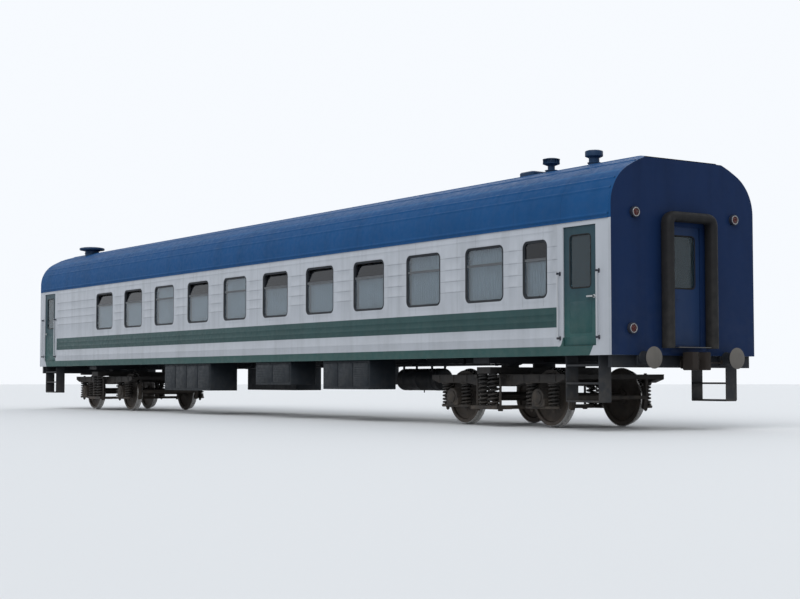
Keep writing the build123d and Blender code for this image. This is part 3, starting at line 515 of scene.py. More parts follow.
rims, bars = [], []
for window_x, width in WINDOWS:
    rim = around_window(width, [(out, WINDOW_CORNER + out, proud) for out, proud in RIM])
    rims.append(moved(flipped(rim), (window_x, 0, 0)))
    left, right = window_x - width / 2 + 0.04, window_x + width / 2 - 0.04
    bars.append(block((left, 0.014 - FRAME_Y, BAR_Z - 0.02), (right, -0.014 - FRAME_Y, BAR_Z + 0.02), 0.003, 0))
    for z in (BAR_Z - 0.013, BAR_Z + 0.013):
        bars.append(block((left, -0.012 - FRAME_Y, z - 0.005), (right, -0.022 - FRAME_Y, z + 0.005), 0.003, 0))
rim_dark = paint(
    "rim_dark", (0.018, 0.021, 0.026), streaks=0.2, dust=(0.12, 0.12, 0.12), dust_z=(1.8, 3.4), dust_most=0.14,
)
bar_grey = paint(
    "bar_grey", (0.13, 0.14, 0.15), gloss=0.4, metallic=0.2, streaks=0.2, dust_most=0.05, grain=200,
)
piece(
    "window_rims", [(rim_dark, half_turned(merged(rims))), (bar_grey, half_turned(merged(bars)))],
    stands_for=("window_frames",),
)

# Window panes: toughened glass with a film of dust, clear in the windows and darker in the doors. They are the
# CAD's own, and the panes of the open vents lean in.
OPEN_VENTS = (0, 1, 3, 5, 6, 7, 10)
CORNERS = ("front_left", "front_right", "rear_left", "rear_right")


def dress(material, *names):
    """Gives CAD nodes that stay a finish of their own."""
    for name in names:
        for slot in bpy.data.objects[name].material_slots:
            slot.material = material


def painted_vent_shade(tree):
    """1 over the panes of the open vents, 0 elsewhere: above the bar, within the width of those windows.
    There the glass gets painted shade for the dark cabin seen in the leaning panes.
    """
    x, y, z = place_of(tree)
    turned_x = times(tree, x, times(tree, maths(tree, "SIGN", y), -1.0))
    within = 0.0
    for window_x, width in (WINDOWS[number] for number in OPEN_VENTS):
        pane = band(tree, turned_x, window_x - width / 2, window_x + width / 2)
        within = maths(tree, "ADD", pane, within)
    return times(tree, within, band(tree, z, BAR_Z, EAVE))


def glass(name, colour, film, painted_shade_mask=None):
    """Clear glass with smears and a slight ripple. Where the given mask is 1, its colour is painted darker:
    painted shade and painted reflection of the dark cabin in the leaning vent panes.
    """
    material, tree, shader = new_material(name)
    if painted_shade_mask:
        # Painted shade and reflection: over the open vents the glass colour is darkened for the dark cabin
        # behind.
        colour = blend_colours(tree, painted_shade_mask(tree), colour, (0.045, 0.055, 0.075))
    smears = ramp(tree, noise(tree, 5.0, (1, 1, 0.35), detail=6), 0.42, 0.8, 0.02, film)
    plug(shader, Base_Color=colour, Transmission_Weight=0.92, IOR=1.4, Specular_IOR_Level=0.12, Roughness=smears)
    emboss(tree, shader, 0.12, 0.002, noise(tree, 2.2, detail=1))
    return material


dress(glass("pane_glass", (0.43, 0.51, 0.58), 0.2, painted_vent_shade), "panes")
door_panes = [f"side_door_pane_{corner}" for corner in CORNERS] + ["end_door_pane_front", "end_door_pane_rear"]
dress(glass("door_glass", (0.13, 0.22, 0.27), 0.3), *door_panes)

# Curtains: one pale woven pair drawn across each window on a rod, gathered in soft pleats. Under the open vents
# they hang from a rod at the bar, and elsewhere from above the window.
CURTAIN_Y = lining_y - 0.035
ROD_HIGH = WINDOW_Z + WINDOW_HEIGHT / 2 + 0.035
ROD_LOW = BAR_Z - 0.03
CURTAIN_FOOT = WINDOW_Z - WINDOW_HEIGHT / 2 - 0.06
STEPS_A_PLEAT = 10
ROWS_OF_CLOTH = 20


def woven(name, colour, thread=260):
    """Plain weave: two crossed sets of fine waves make the threads, and slow clouds vary the shade."""
    material, tree, shader = new_material(name)
    warp, weft = (
        node(tree, "TexWave", {"bands_direction": axis}, Vector=own_place(tree), Scale=thread, Distortion=0.6)
        for axis in "XZ"
    )
    weave = times(tree, warp.outputs["Fac"], weft.outputs["Fac"])
    shade = ramp(tree, noise(tree, 3.0), 0.3, 0.7, 0.0, 0.35)
    base = blend_colours(tree, shade, colour, tuple(channel * 0.72 for channel in colour))
    base = blend_colours(tree, times(tree, weave, 0.12), base, tuple(channel * 0.8 for channel in colour))
    plug(shader, Base_Color=base, Roughness=0.85, Sheen_Weight=0.35)
    emboss(tree, shader, 0.15, 0.0004, weave)
    return material


def directions(path):
    """Unit vectors along a path, one at each of its points."""
    along = np.gradient(path, axis=0)
    return along / np.linalg.norm(along, axis=1)[:, None]


def tube(path, radius, side, facets=10):
    """A round bar along a path. Its rings are set out from the path's direction and the sideways one given."""
    path = np.asarray(path, float)
    along = directions(path)
    across = np.cross(along, np.broadcast_to(side, path.shape))
    across /= np.linalg.norm(across, axis=1)[:, None]
    third = np.cross(along, across)
    angle = np.linspace(0, 2 * np.pi, facets, endpoint=False)[None, :, None]
    ring = np.cos(angle) * across[:, None] + np.sin(angle) * third[:, None]
    return closed(grid(path[:, None] + radius * ring, around=True), facets)


def pleated(width, top, foot, pleats, phase):
    """A hanging cloth: across it the depth goes in waves, which are even at the rod and drift and swell lower
    down, and its foot rises and falls a little."""
    u = np.linspace(0, 1, pleats * STEPS_A_PLEAT + 1)[None, :]
    v = np.linspace(0, 1, ROWS_OF_CLOTH)[:, None]
    drift = 0.35 * v * np.sin(2 * np.pi * u * 1.7 + phase)
    wave = np.sin(2 * np.pi * pleats * u + drift * 2.5 + phase)
    points = np.zeros((ROWS_OF_CLOTH, u.shape[1], 3))
    points[..., 0] = (u - 0.5) * width + 0.012 * v * np.sin(5 * u + phase)
    points[..., 1] = 0.014 * (0.65 + 0.45 * v * np.sin(3 * u + phase + 1) ** 2) * wave
    points[..., 2] = top + (foot - top) * v + 0.006 * v * np.sin(2 * np.pi * pleats * u * 0.5 + phase)
    return grid(points)


curtain_white = woven("curtain_white", (0.66, 0.66, 0.62))
rod_steel = paint(
    "rod_steel", (0.45, 0.45, 0.44), gloss=0.3, metallic=0.8, streaks=0.1, dust_most=0.0, grain=200,
)
rods = []
for side, side_name in ((-1, "right"), (1, "left")):
    for number, (window_x, width) in enumerate(WINDOWS):
        x = -side * window_x
        rod_z = ROD_LOW if side < 0 and number in OPEN_VENTS else ROD_HIGH
        ends = [(x - width / 2 - 0.01, side * CURTAIN_Y, rod_z), (x + width / 2 + 0.01, side * CURTAIN_Y, rod_z)]
        rods.append(tube(ends, 0.006, (0, 0, 1), 8))
        top = rod_z - 0.004
        pleats = 9 if width < 1 else 15
        cloth = pleated(width - 0.01, top, CURTAIN_FOOT, pleats, 1.3 * number + side)
        hung = moved(cloth, (x, side * (CURTAIN_Y - 0.022), 0))
        name = f"curtain_{side_name}_{number + 1}"
        curtain = piece(name, [(curtain_white, hung)], crease=180)
piece("curtain_rods", [(rod_steel, merged(rods))])

# Doorways and doors: steel frames and leaves. The frames carry on the white and the green foot of the sides,
# and each leaf has two raised panels, a lever on a round rose, and a rubber ring round its glass.
DOOR_X = HALF - 0.735
FOOT_X = HALF - 0.505
LEAF_FACE = SIDE - 0.025
DOOR_GLASS = (0.24, 0.41, 0.06)
DOOR_GLASS_Z = RAIL + 2.62
HANDLE_X, HANDLE_Z = 0.3185, RAIL + 2.06


def doorway_colours(tree):
    """White posts and head, and a green foot whose white end slants beside the body's corner."""
    x, _, z = place_of(tree)
    away = maths(tree, "ABSOLUTE", x)
    slanted = maths(tree, "SUBTRACT", away, times(tree, maths(tree, "SUBTRACT", z, SILL), 0.6))
    inboard = ramp(tree, slanted, FOOT_X - 0.003, FOOT_X + 0.003, 1, 0, "LINEAR")
    corner = ramp(tree, away, WALL_END + 0.01, DOOR_X - 0.4, shape="LINEAR")
    lift = times(tree, maths(tree, "POWER", corner, 3.0), 0.14)
    foot = band(tree, maths(tree, "SUBTRACT", z, lift), SILL - 0.4, RAIL + 1.295)
    return blend_colours(tree, times(tree, foot, inboard), SHADED_WHITE, PALE_GREEN)


def door_colours(tree):
    """Dark teal that grows greener towards the foot."""
    share = ramp(tree, place_of(tree)[2], RAIL + 1.5, RAIL + 2.4)
    return blend_colours(tree, share, (0.020, 0.078, 0.078), (0.022, 0.052, 0.068))


def turned(profile, centre, axis=2, facets=48):
    """A round surface: a profile of (radius, height) points carried round an axis through centre."""
    profile = np.asarray(profile, float)
    angle = np.linspace(0, 2 * np.pi, facets, endpoint=False)
    u, v = [(1, 2), (2, 0), (0, 1)][axis]
    points = np.zeros((len(profile), facets, 3))
    points[..., u] = profile[:, :1] * np.cos(angle)
    points[..., v] = profile[:, :1] * np.sin(angle)
    points[..., axis] = profile[:, 1:]
    return grid(points + np.array(centre), around=True)


def glazing_ring(half_width, half_height, corner):
    """A half-round rubber section led round a window's edge, as outlines from its inner lip to its outer one."""
    points = []
    for angle in np.linspace(0, np.pi, 7):
        out = 0.005 - 0.011 * np.cos(angle)
        outline = rounded(half_width + out, half_height + out, corner + out, 8)
        points.append(np.insert(outline, 1, -0.006 * np.sin(angle), axis=1))
    return flipped(grid(np.array(points), around=True))


doorway_paint = paint("doorway_paint", SHADED_WHITE, pattern=doorway_colours, dust_z=(1.1, 2.2), dust_most=0.09)
door_paint = paint(
    "door_paint", GREEN, gloss=0.36, pattern=door_colours, streaks=0.3, dust_z=(1.2, 2.3), dust_most=0.1,
)
seal_black = paint(
    "seal_black", (0.012, 0.012, 0.013), gloss=0.55, streaks=0.1, dust=(0.10, 0.095, 0.085), dust_z=(0.8, 3.4),
    dust_most=0.2, grain=140,
)
handle_steel = paint(
    "handle_steel", (0.40, 0.41, 0.42), gloss=0.32, metallic=0.7, streaks=0.2, dust_most=0.05, grain=200,
)
dress(doorway_paint, "doorway_frames")
dress(door_paint, *[f"side_door_{corner}" for corner in CORNERS])
rose = [(0.030, 0), (0.030, 0.004), (0.026, 0.008), (0.016, 0.009), (0.015, 0.05), (0.0005, 0.05)]
rose, rose_faces = flipped(turned(rose, (0, 0, 0), 1, 32))
lever_low = (HANDLE_X - 0.132, -LEAF_FACE - 0.032, HANDLE_Z - 0.0145)
lever_high = (HANDLE_X + 0.014, -LEAF_FACE - 0.052, HANDLE_Z + 0.0145)
handle = merged([
    block(lever_low, lever_high, 0.007, 0),
    (rose * (1, -1, 1) + (HANDLE_X - 0.0005, -LEAF_FACE, HANDLE_Z), rose_faces),
])
panels = merged([
    block((-0.26, -LEAF_FACE - 0.005, RAIL + 1.50), (0.26, -LEAF_FACE + 0.002, RAIL + 2.00), 0.004, 1, 0.03),
    block((-0.375, -LEAF_FACE - 0.004, RAIL + 1.315), (0.375, -LEAF_FACE + 0.002, RAIL + 1.45), 0.003, 1, 0.008),
])
ring = moved(glazing_ring(*DOOR_GLASS), (0, -LEAF_FACE, DOOR_GLASS_Z))
for corner in CORNERS:
    end = 1 if corner.startswith("front") else -1
    side = 1 if corner.endswith("left") else -1
    placed = []
    for material, (points, faces) in ((seal_black, ring), (door_paint, panels), (handle_steel, handle)):
        surface = (points * (end, -side, 1) + (end * DOOR_X, 0, 0), faces)
        placed.append((material, surface if side * end < 0 else flipped(surface)))
    piece(f"door_trim_{corner}", placed, f"side_door_{corner}_body")

# End walls: smooth plates in dark blue, white at their edges beside the sides. Each has a door, and round it a
# hollow rubber bolster that goes up one side, across the top and down the other, and seals the gangway.
NAVY = (0.0075, 0.021, 0.068)
SEAL_REACH, SEAL_FOOT, SEAL_TOP = 0.475, 1.29, 3.344


def end_colours(tree):
    """Dark blue, apart from the outer edges: white beside the sides and roof blue above the eaves."""
    x, y, z = place_of(tree)
    facing = ramp(tree, maths(tree, "ABSOLUTE", x), HALF - 0.0015, HALF - 0.0005, shape="LINEAR")
    edge = blend_colours(tree, band(tree, z, EAVE, 9), SHADED_WHITE, ROOF_BLUE)
    outer = band(tree, maths(tree, "ABSOLUTE", y), 0.6, 9)
    return blend_colours(tree, times(tree, outer, maths(tree, "SUBTRACT", 1.0, facing)), NAVY, edge)


def bent(points, radius, steps=8):
    """A path through corner points with each inner corner rounded off as a quadratic curve."""
    points = np.asarray(points, float)
    path = [points[:1]]
    t = np.linspace(0, 1, steps + 1)[:, None]
    for before, corner, after in zip(points, points[1:], points[2:]):
        a = corner + (before - corner) / np.linalg.norm(before - corner) * radius
        b = corner + (after - corner) / np.linalg.norm(after - corner) * radius
        path.append((1 - t) ** 2 * a + 2 * t * (1 - t) * corner + t**2 * b)
    path.append(points[-1:])
    return np.concatenate(path)


def gangway_bolster():
    """The front bolster: a section led along its path round the doorway. The section is an oval, squeezed where
    it meets the wall, with fine ridges along it."""
    up = [(SEAL_REACH, SEAL_FOOT), (SEAL_REACH, SEAL_TOP)]
    corners = up + [(-y, z) for y, z in up[::-1]]
    path = bent(corners, 0.13, 10)
    fine = np.concatenate([np.linspace(a, b, 7)[:-1] for a, b in zip(path, path[1:])] + [path[-1:]])
    along = directions(fine)
    across = np.stack([along[:, 1], -along[:, 0]], -1)
    turn = np.linspace(0, 2 * np.pi, 36, endpoint=False)
    sideways = 0.083 * np.cos(turn) * (1 + 0.012 * np.cos(12 * turn))
    points = np.zeros((len(fine), len(turn), 3))
    points[..., 0] = HALF + 0.115 + 0.113 * np.sign(np.sin(turn)) * np.abs(np.sin(turn)) ** 0.8
    points[..., 1:] = fine[:, None] + across[:, None] * sideways[:, None]
    return flipped(closed(grid(points, around=True), len(turn)))


end_paint = paint(
    "end_paint", NAVY, pattern=end_colours, streaks=0.3, dust=(0.05, 0.06, 0.08), dust_z=(1.1, 2.8),
    dust_most=0.15, shine=0.06,
)
end_door_paint = paint(
    "end_door_paint", (0.013, 0.032, 0.088), gloss=0.4, streaks=0.25, dust=(0.07, 0.08, 0.10), dust_most=0.2,
)
plate_steel = paint(
    "plate_steel", (0.085, 0.085, 0.085), gloss=0.38, metallic=0.6, streaks=0.2, dust_z=(0.5, 3),
)
dress(end_paint, "end_wall_front", "end_wall_rear")
dress(end_door_paint, "end_door_front", "end_door_rear")
dress(plate_steel, "bridge_plates")
piece(
    "gangway_bolsters", [(seal_black, half_turned(gangway_bolster()))],
    stands_for=("gangway_seals",),
)
points, faces = glazing_ring(*DOOR_GLASS)
for end, name in ((1, "front"), (-1, "rear")):
    ring = points[:, (1, 0, 2)] * (-end, end, 1) + (end * (HALF - 0.025), 0, DOOR_GLASS_Z)
    piece(f"end_door_trim_{name}", [(seal_black, (ring, faces))], f"end_door_{name}_body")

# Tail lamps: pressed steel housings fixed on the end walls, each with a bright bezel and a domed red glass that
# has rings moulded in it.
LAMPS = ((1.08, RAIL + 3.35), (-1.08, RAIL + 3.35), (-1.15, RAIL + 1.56))
LENS_RADIUS = 0.06
lens_red = glass("lens_red", (0.55, 0.02, 0.015), 0.1)
lamp_dark = paint("lamp_dark", (0.02, 0.024, 0.04), dust_z=(1, 4), dust_most=0.15)
housing = [(0, 0), (0.082, 0), (0.085, 0.004), (0.085, 0.056), (0.080, 0.062), (0.070, 0.062), (0.068, 0.052)]
bezel = [(0.068, 0.052), (0.070, 0.063), (0.066, 0.066), (0.061, 0.064), (0.059, 0.054)]
radius = np.linspace(LENS_RADIUS, 0, 22)
dome = 0.056 + 0.011 * (1 - (radius / LENS_RADIUS) ** 2)
lens = np.stack([radius, dome + 0.0008 * np.cos(radius * 900)], -1)
parts = []
for material, profile in ((lamp_dark, housing), (handle_steel, bezel), (lens_red, lens)):
    parts.append((material, half_turned(merged([turned(profile, (HALF, y, z), 0) for y, z in LAMPS]))))
piece("tail_lamps", parts, stands_for=("marker_lamps",))

# Roof fittings, spun and pressed from sheet: a broad cap on its neck near one end, and near the other two small
# ventilators, one with fins round its head, and a flat hatch.
CAP_X, CAP_Y = 1.5 - HALF, -0.64
FINNED_X, PLAIN_X, VENT_Y = HALF - 2.745, HALF - 1.645, -0.42
FINS = 18


def crown_height(y):
    """Height of the roof's crown at y, on its arc."""
    return CROWN_CENTRE + np.sqrt(CROWN_RADIUS**2 - y**2)


fitting_blue = paint("fitting_blue", (0.011, 0.036, 0.085), gloss=0.44, streaks=0.3, dust_most=0.0)
cap = [(0.195, -0.13), (0.192, 0.015), (0.205, 0.02), (0.205, 0.03), (0.190, 0.036), (0.190, 0.074),
       (0.30, 0.104), (0.325, 0.104), (0.342, 0.112), (0.345, 0.122), (0.345, 0.150), (0.339, 0.162),
       (0.315, 0.170), (0.24, 0.184), (0.12, 0.185), (0.02, 0.185), (0.0005, 0.185)]
neck = [(0.105, -0.09), (0.10, 0.01), (0.112, 0.014), (0.112, 0.026)]
plain = neck + [(0.088, 0.034), (0.088, 0.100), (0.14, 0.124), (0.149, 0.130), (0.150, 0.140), (0.150, 0.205),
                (0.145, 0.216), (0.11, 0.228), (0.05, 0.234), (0.0005, 0.235)]
finned = neck + [(0.062, 0.034), (0.062, 0.100), (0.135, 0.128), (0.149, 0.134), (0.149, 0.142), (0.118, 0.150),
                 (0.118, 0.205), (0.150, 0.209), (0.150, 0.216), (0.10, 0.230), (0.0005, 0.235)]
vent_z = crown_height(VENT_Y)
fin = [(0.117, 0.148), (0.146, 0.142), (0.146, 0.211), (0.117, 0.207)]
fin = np.array([[(r, side, z) for r, z in fin] for side in (-0.002, 0.002)])
fin, fin_faces = flipped(closed(grid(fin, around=True), 4))
fins = []
for angle in np.arange(FINS) * 2 * np.pi / FINS:
    turn = np.array([(np.cos(angle), np.sin(angle), 0), (-np.sin(angle), np.cos(angle), 0), (0, 0, 1)])
    fins.append((fin @ turn + (FINNED_X, VENT_Y, vent_z), fin_faces))
hatch_low = (FINNED_X - 0.62, VENT_Y - 0.22, vent_z - 0.06)
hatch_high = (FINNED_X - 0.24, VENT_Y + 0.2, vent_z + 0.035)
fittings = [turned(finned, (FINNED_X, VENT_Y, vent_z)), turned(plain, (PLAIN_X, VENT_Y, vent_z)), *fins,
            block(hatch_low, hatch_high, 0.02, 2, 0.05)]
piece(
    "roof_cowl", [(fitting_blue, turned(cap, (CAP_X, CAP_Y, crown_height(CAP_Y)), facets=72))],
    stands_for=("roof_cap",),
)
piece("roof_ventilators", [(fitting_blue, merged(fittings))], stands_for=("roof_vents",))

# Handrails: steel rods painted pale, one on each side of every doorway. They are bent into the wall and held by
# dark cast brackets.
ROD_Y = SIDE + 0.0555


def at_each_doorway(surfaces):
    """What stands at the front right doorway, with its mirror images at the other three."""
    return mirrored(mirrored(merged(surfaces), 1), 0)


bar_metal = paint(
    "bar_metal", (0.42, 0.44, 0.47), gloss=0.38, metallic=0.1, streaks=0.25, dust_most=0.08, grain=200,
)
hub = [(0.0005, -0.018), (0.017, -0.017), (0.019, -0.010), (0.019, 0.010), (0.017, 0.017), (0.0005, 0.018)]
rods, brackets = [], []
for x in (DOOR_X - 0.46, DOOR_X + 0.46):
    path = [(x, -ROD_Y + 0.002, 1.430), (x, -ROD_Y, 1.5), (x, -ROD_Y, 2.426), (x, -ROD_Y + 0.002, 2.496)]
    rods.append(tube(bent(path, 0.02), 0.0138, (1, 0, 0), 14))
    for z in (1.452, 2.474):
        brackets += [
            block((x - 0.012, -SIDE, z - 0.012), (x + 0.012, -ROD_Y - 0.004, z + 0.012), 0.004, 1, 0.010),
            block((x - 0.022, -SIDE, z - 0.035), (x + 0.022, -SIDE - 0.008, z + 0.035), 0.003, 1, 0.018),
            turned(hub, (x, -ROD_Y + 0.001, z), 2, 20),
        ]
piece(
    "grab_rails", [(bar_metal, at_each_doorway(rods)), (lamp_dark, at_each_doorway(brackets))],
    stands_for=("handrails",),
)

# Steps: three treads of crossed steel bars with turned-up edges, between two side plates that hang under each
# doorway.
STEP_OUT, STEP_IN = -SIDE + 0.05, -SIDE + 0.30
STEP_HEIGHTS = (0.448, 0.728, 1.008)
step_dark = paint(
    "step_dark", (0.022, 0.026, 0.032), gloss=0.5, streaks=0.2, dust=(0.11, 0.095, 0.078), dust_z=(0.3, 1.4),
    dust_most=0.5,
)
tread = []
for x in np.linspace(DOOR_X - 0.36, DOOR_X + 0.36, 13):
    tread.append(block((x - 0.004, STEP_OUT, 0.008), (x + 0.004, STEP_IN, 0.028), 0.002, 1))
for y in np.linspace(STEP_OUT + 0.014, STEP_IN - 0.014, 5):
    tread.append(block((DOOR_X - 0.378, y - 0.012, 0.002), (DOOR_X + 0.378, y + 0.012, 0.022), 0.003, 0))
for y in (STEP_OUT, STEP_IN - 0.005):
    tread.append(block((DOOR_X - 0.38, y, 0), (DOOR_X + 0.38, y + 0.005, 0.03), 0.002, 0))
steps = [moved(merged(tread), *[(0, 0, height) for height in STEP_HEIGHTS])]
plate = [(STEP_OUT + 0.02, 0.448), (STEP_IN - 0.005, 0.448), (STEP_IN, 0.47), (STEP_IN, SILL), (STEP_OUT, SILL),
         (STEP_OUT, 0.47)]
for x in (DOOR_X - 0.386, DOOR_X + 0.386):
    steps.append(along_body(plate, x - 0.0055, x + 0.0055))
piece("entrance_steps", [(step_dark, at_each_doorway(steps))], stands_for=("steps",))

# Buffers: turned steel sleeves on feet bolted to the headstocks. Each has a polished plunger with a domed,
# greasy plate on its end.
BUFFER_Z = RAIL + 1.11
under_black = paint(
    "under_black", (0.013, 0.016, 0.021), gloss=0.5, streaks=0.15, dust=(0.085, 0.075, 0.065), dust_z=(0.2, 1.5),
    dust_most=0.45, grain=60, relief=0.0010, mottle=5,
)
greased_steel = paint(
    "greased_steel", (0.13, 0.122, 0.112), gloss=0.34, metallic=0.8, streaks=0.4, dust_most=0.08, grain=240,
)
sleeve = [(0.0005, 0), (0.104, 0), (0.105, 0.012), (0.100, 0.02), (0.096, 0.03), (0.092, 0.12), (0.098, 0.126),
          (0.098, 0.138), (0.094, 0.14), (0.072, 0.14)]
plunger = [(0.070, 0.13), (0.070, 0.215)]
plate = [(0.072, 0.212), (0.10, 0.222), (0.150, 0.226), (0.166, 0.230), (0.170, 0.236)]
plate += [(0.170 * share**0.8, 0.250 - 0.013 * share**2.2) for share in np.linspace(1, 0, 12)[:-1]]
plate.append((0.0005, 0.250))
foot_bolt = [(0.013, 0), (0.013, 0.009), (0.0005, 0.009)]
sleeves, plungers = [], []
for y in (-0.9, 0.9):
    centre = (HALF, y, BUFFER_Z)
    sleeves.append(turned(sleeve, centre, 0))
    plungers += [turned(plunger, centre, 0), turned(plate, centre, 0, 60)]
    foot_low = (HALF - 0.06, y - 0.125, BUFFER_Z - 0.115)
    sleeves.append(block(foot_low, (HALF - 0.0005, y + 0.125, SILL), 0.006, 0, 0.02))
    for up in (-0.092, 0.03):
        for out in (-0.105, 0.105):
            sleeves.append(turned(foot_bolt, (HALF - 0.0005, y + out, BUFFER_Z + up), 0, 6))
piece(
    "side_buffers",
    [(under_black, half_turned(merged(sleeves))), (greased_steel, half_turned(merged(plungers)))],
    stands_for=("buffers",), crease=30,
)

# Underframe: channels and beams welded from plate, kept as they are, and two brake pipes along it that hang on
# brackets and turn up at their ends.
PIPE_Z = 1.085
PIPE_REACH = 7.6
dress(under_black, "underframe", "body_bolsters", "headstocks", "brake_cylinder")
pipes = []
for y in (0.42, -0.34):
    half_pipe = [(PIPE_REACH, y, PIPE_Z + 0.17), (PIPE_REACH - 0.25, y, PIPE_Z)]
    path = [(-x, y, z) for x, y, z in half_pipe] + half_pipe[::-1]
    pipes.append(tube(bent(path, 0.09), 0.017, (0, 1, 0)))
    for x in np.linspace(-6.6, 6.6, 9):
        pipes.append(block((x - 0.018, y - 0.03, 1.062), (x + 0.018, y + 0.03, 1.266), 0.004, 2))
piece("brake_pipes", [(under_black, merged(pipes))])

# Automatic couplers: castings with rounded edges. A long and a short claw face the next coach, a lock stands in
# the mouth between them, a rod bent from bar reaches it from the side, and the shank runs back through a worn
# guide plate under the headstock.
COUPLER_Z = RAIL + 1.06
COUPLER_X = HALF + 0.2935
HEAD = np.array([(-250, -90), (-170, -190), (60, -205), (110, -160), (105, -120), (20, -85), (-60, -50),
                 (-60, 70), (30, 95), (75, 120), (70, 190), (-60, 210), (-170, 190), (-250, 90)]) / 1000


def softened(outline, radius, steps=5):
    """A closed outline with each corner rounded off as a quadratic curve."""
    before, after = np.roll(outline, 1, axis=0), np.roll(outline, -1, axis=0)
    back = (before - outline) / np.linalg.norm(before - outline, axis=1)[:, None] * radius
    ahead = (after - outline) / np.linalg.norm(after - outline, axis=1)[:, None] * radius
    t = np.linspace(0, 1, steps)[None, :, None]
    start, corner, finish = (outline + back)[:, None], outline[:, None], (outline + ahead)[:, None]
    return ((1 - t) ** 2 * start + 2 * t * (1 - t) * corner + t**2 * finish).reshape(-1, 2)


rust_black = paint(
    "rust_black", (0.022, 0.018, 0.016), gloss=0.6, streaks=0.3, dust=(0.10, 0.08, 0.064), dust_z=(0.1, 1.1),
    dust_most=0.6, grain=45, relief=0.0016, mottle=6,
)
middle = HEAD.mean(axis=0)
levels = [(-0.140, 0.93), (-0.132, 0.985), (-0.118, 0.995), (-0.05, 0.99)]
levels += [(-level, share) for level, share in levels[::-1]]
outlines = [softened((HEAD - middle) * share + middle, 0.014) + (COUPLER_X, 0) for _, share in levels]
lock_rod = [(COUPLER_X - 0.12, 0.20, -0.02), (COUPLER_X - 0.12, 0.30, -0.02), (HALF + 0.02, 0.52, -0.02),
            (HALF + 0.012, 0.80, -0.02)]
coupler = merged([
    stacked(outlines, [level for level, _ in levels]),
    block((COUPLER_X - 0.075, -0.038, -0.07), (COUPLER_X - 0.020, 0.045, 0.07), 0.012, 0),
    block((HALF - 0.06, -0.065, -0.065), (COUPLER_X - 0.22, 0.065, 0.065), 0.014, 0, 0.025),
    block((HALF + 0.0005, -0.13, -0.115), (HALF + 0.018, 0.13, 0.02), 0.006, 0, 0.03),
    tube(bent(lock_rod, 0.05), 0.010, (0, 0, 1)),
    block((HALF - 0.006, 0.77, -0.04), (HALF + 0.024, 0.80, 0.02), 0.004, 0),
])
piece(
    "coupler_heads", [(rust_black, half_turned(moved(coupler, (0, 0, COUPLER_Z))))],
    stands_for=("couplers",), crease=34,
)

# Battery boxes and equipment cases: folded sheet with lids or doors on their outer side, hinges, latches, and
# pressed louvres where air goes in.
CASE_FACE = SIDE - 0.075
LOUVRE = ((0.003, 0), (0.0002, 0.004), (0.0002, 0.010), (0.003, 0.022))


def case(side, left, right, depth, foot, doors, louvred):
    """A closed case with bevelled edges, from its foot up to the sill. Its outer side carries raised doors, each
    with two hinges and a latch, and louvres on those named."""
    def at(x, inset, z):
        return x, side * (CASE_FACE - inset), z

    parts = [block(at(left, depth, foot), at(right, 0.012, SILL), 0.012, 0)]
    width = (right - left - 0.06) / doors
    for number in range(doors):
        start = left + 0.03 + number * width
        finish = start + width
        door_low, door_high = at(start + 0.012, 0.014, foot + 0.05), at(finish - 0.012, 0.002, SILL - 0.05)
        parts.append(block(door_low, door_high, 0.005, 1, 0.02))
        for x in (start + width * 0.2, start + width * 0.8):
            parts.append(block(at(x - 0.035, 0.004, SILL - 0.058), at(x + 0.035, 0, SILL - 0.034), 0.005, 0))
        x = start + width / 2
        parts.append(block(at(x - 0.022, 0.004, foot + 0.07), at(x + 0.022, 0, foot + 0.12), 0.004, 1, 0.01))
        for z in np.arange(foot + 0.17, SILL - 0.12, 0.034) if number in louvred else ():
            lip = [(side * (CASE_FACE - inset), z + up) for inset, up in LOUVRE]
            louvre = along_body(lip, start + 0.06, finish - 0.06)
            parts.append(louvre if side > 0 else flipped(louvre))
    return merged(parts)


case_paint = paint(
    "case_paint", (0.012, 0.017, 0.023), gloss=0.44, streaks=0.3, dust=(0.07, 0.065, 0.058), dust_z=(0.4, 1.4),
    dust_most=0.3,
)
battery = [case(side, -3.92, -1.52, 0.7, 0.558, 4, (0, 3)) for side in (1, -1)]
piece("battery_cases", [(case_paint, merged(battery))], stands_for=("battery_boxes",))
cases = [
    case(1, 0.27, 1.77, 0.62, SILL - 0.48, 2, (1,)),
    case(-1, 0.61, 2.11, 0.62, SILL - 0.48, 2, (0, 1)),
    case(-1, 3.40, 5.10, 0.62, SILL - 0.56, 3, (2,)),
]
piece("control_cases", [(case_paint, merged(cases))], stands_for=("equipment_cases",))

# Air reservoirs: rolled steel drums with dished ends and raised weld seams. Two straps hang each of them under
# the floor, and it has a drain tap below.
DRUM_Z = 0.808
DRUM_PLACES = ((3.825, 0.7, 0), (-5.185, 0.5, 0))
drum = [(max(0.224 * np.sin(a), 0.0005), -0.75 + 0.066 * (1 - np.cos(a))) for a in np.linspace(0, np.pi / 2, 9)]
drum += [(0.2245, -0.65), (0.2225, -0.646), (0.2225, -0.004), (0.2245, 0.0)]
drum += [(radius, -x) for radius, x in drum[-2::-1]]
strap = [(0.2225, -0.03), (0.2255, -0.029), (0.2255, 0.029), (0.2225, 0.03)]
tank = [turned(drum, (0, 0, DRUM_Z), 0, 56), tube([(0, 0, 0.60), (0, 0, 0.565), (0, 0, 0.54)], 0.011, (0, 1, 0))]
for x in (-0.5, 0.5):
    tank.append(turned(strap, (x, 0, DRUM_Z), 0, 56))
    for y in (-0.16, 0.16):
        tank.append(block((x - 0.03, y - 0.01, 0.95), (x + 0.03, y + 0.01, 1.268), 0.004, 2))
piece(
    "reservoir_drums", [(under_black, moved(merged(tank), *DRUM_PLACES))],
    stands_for=("air_reservoirs",),
)

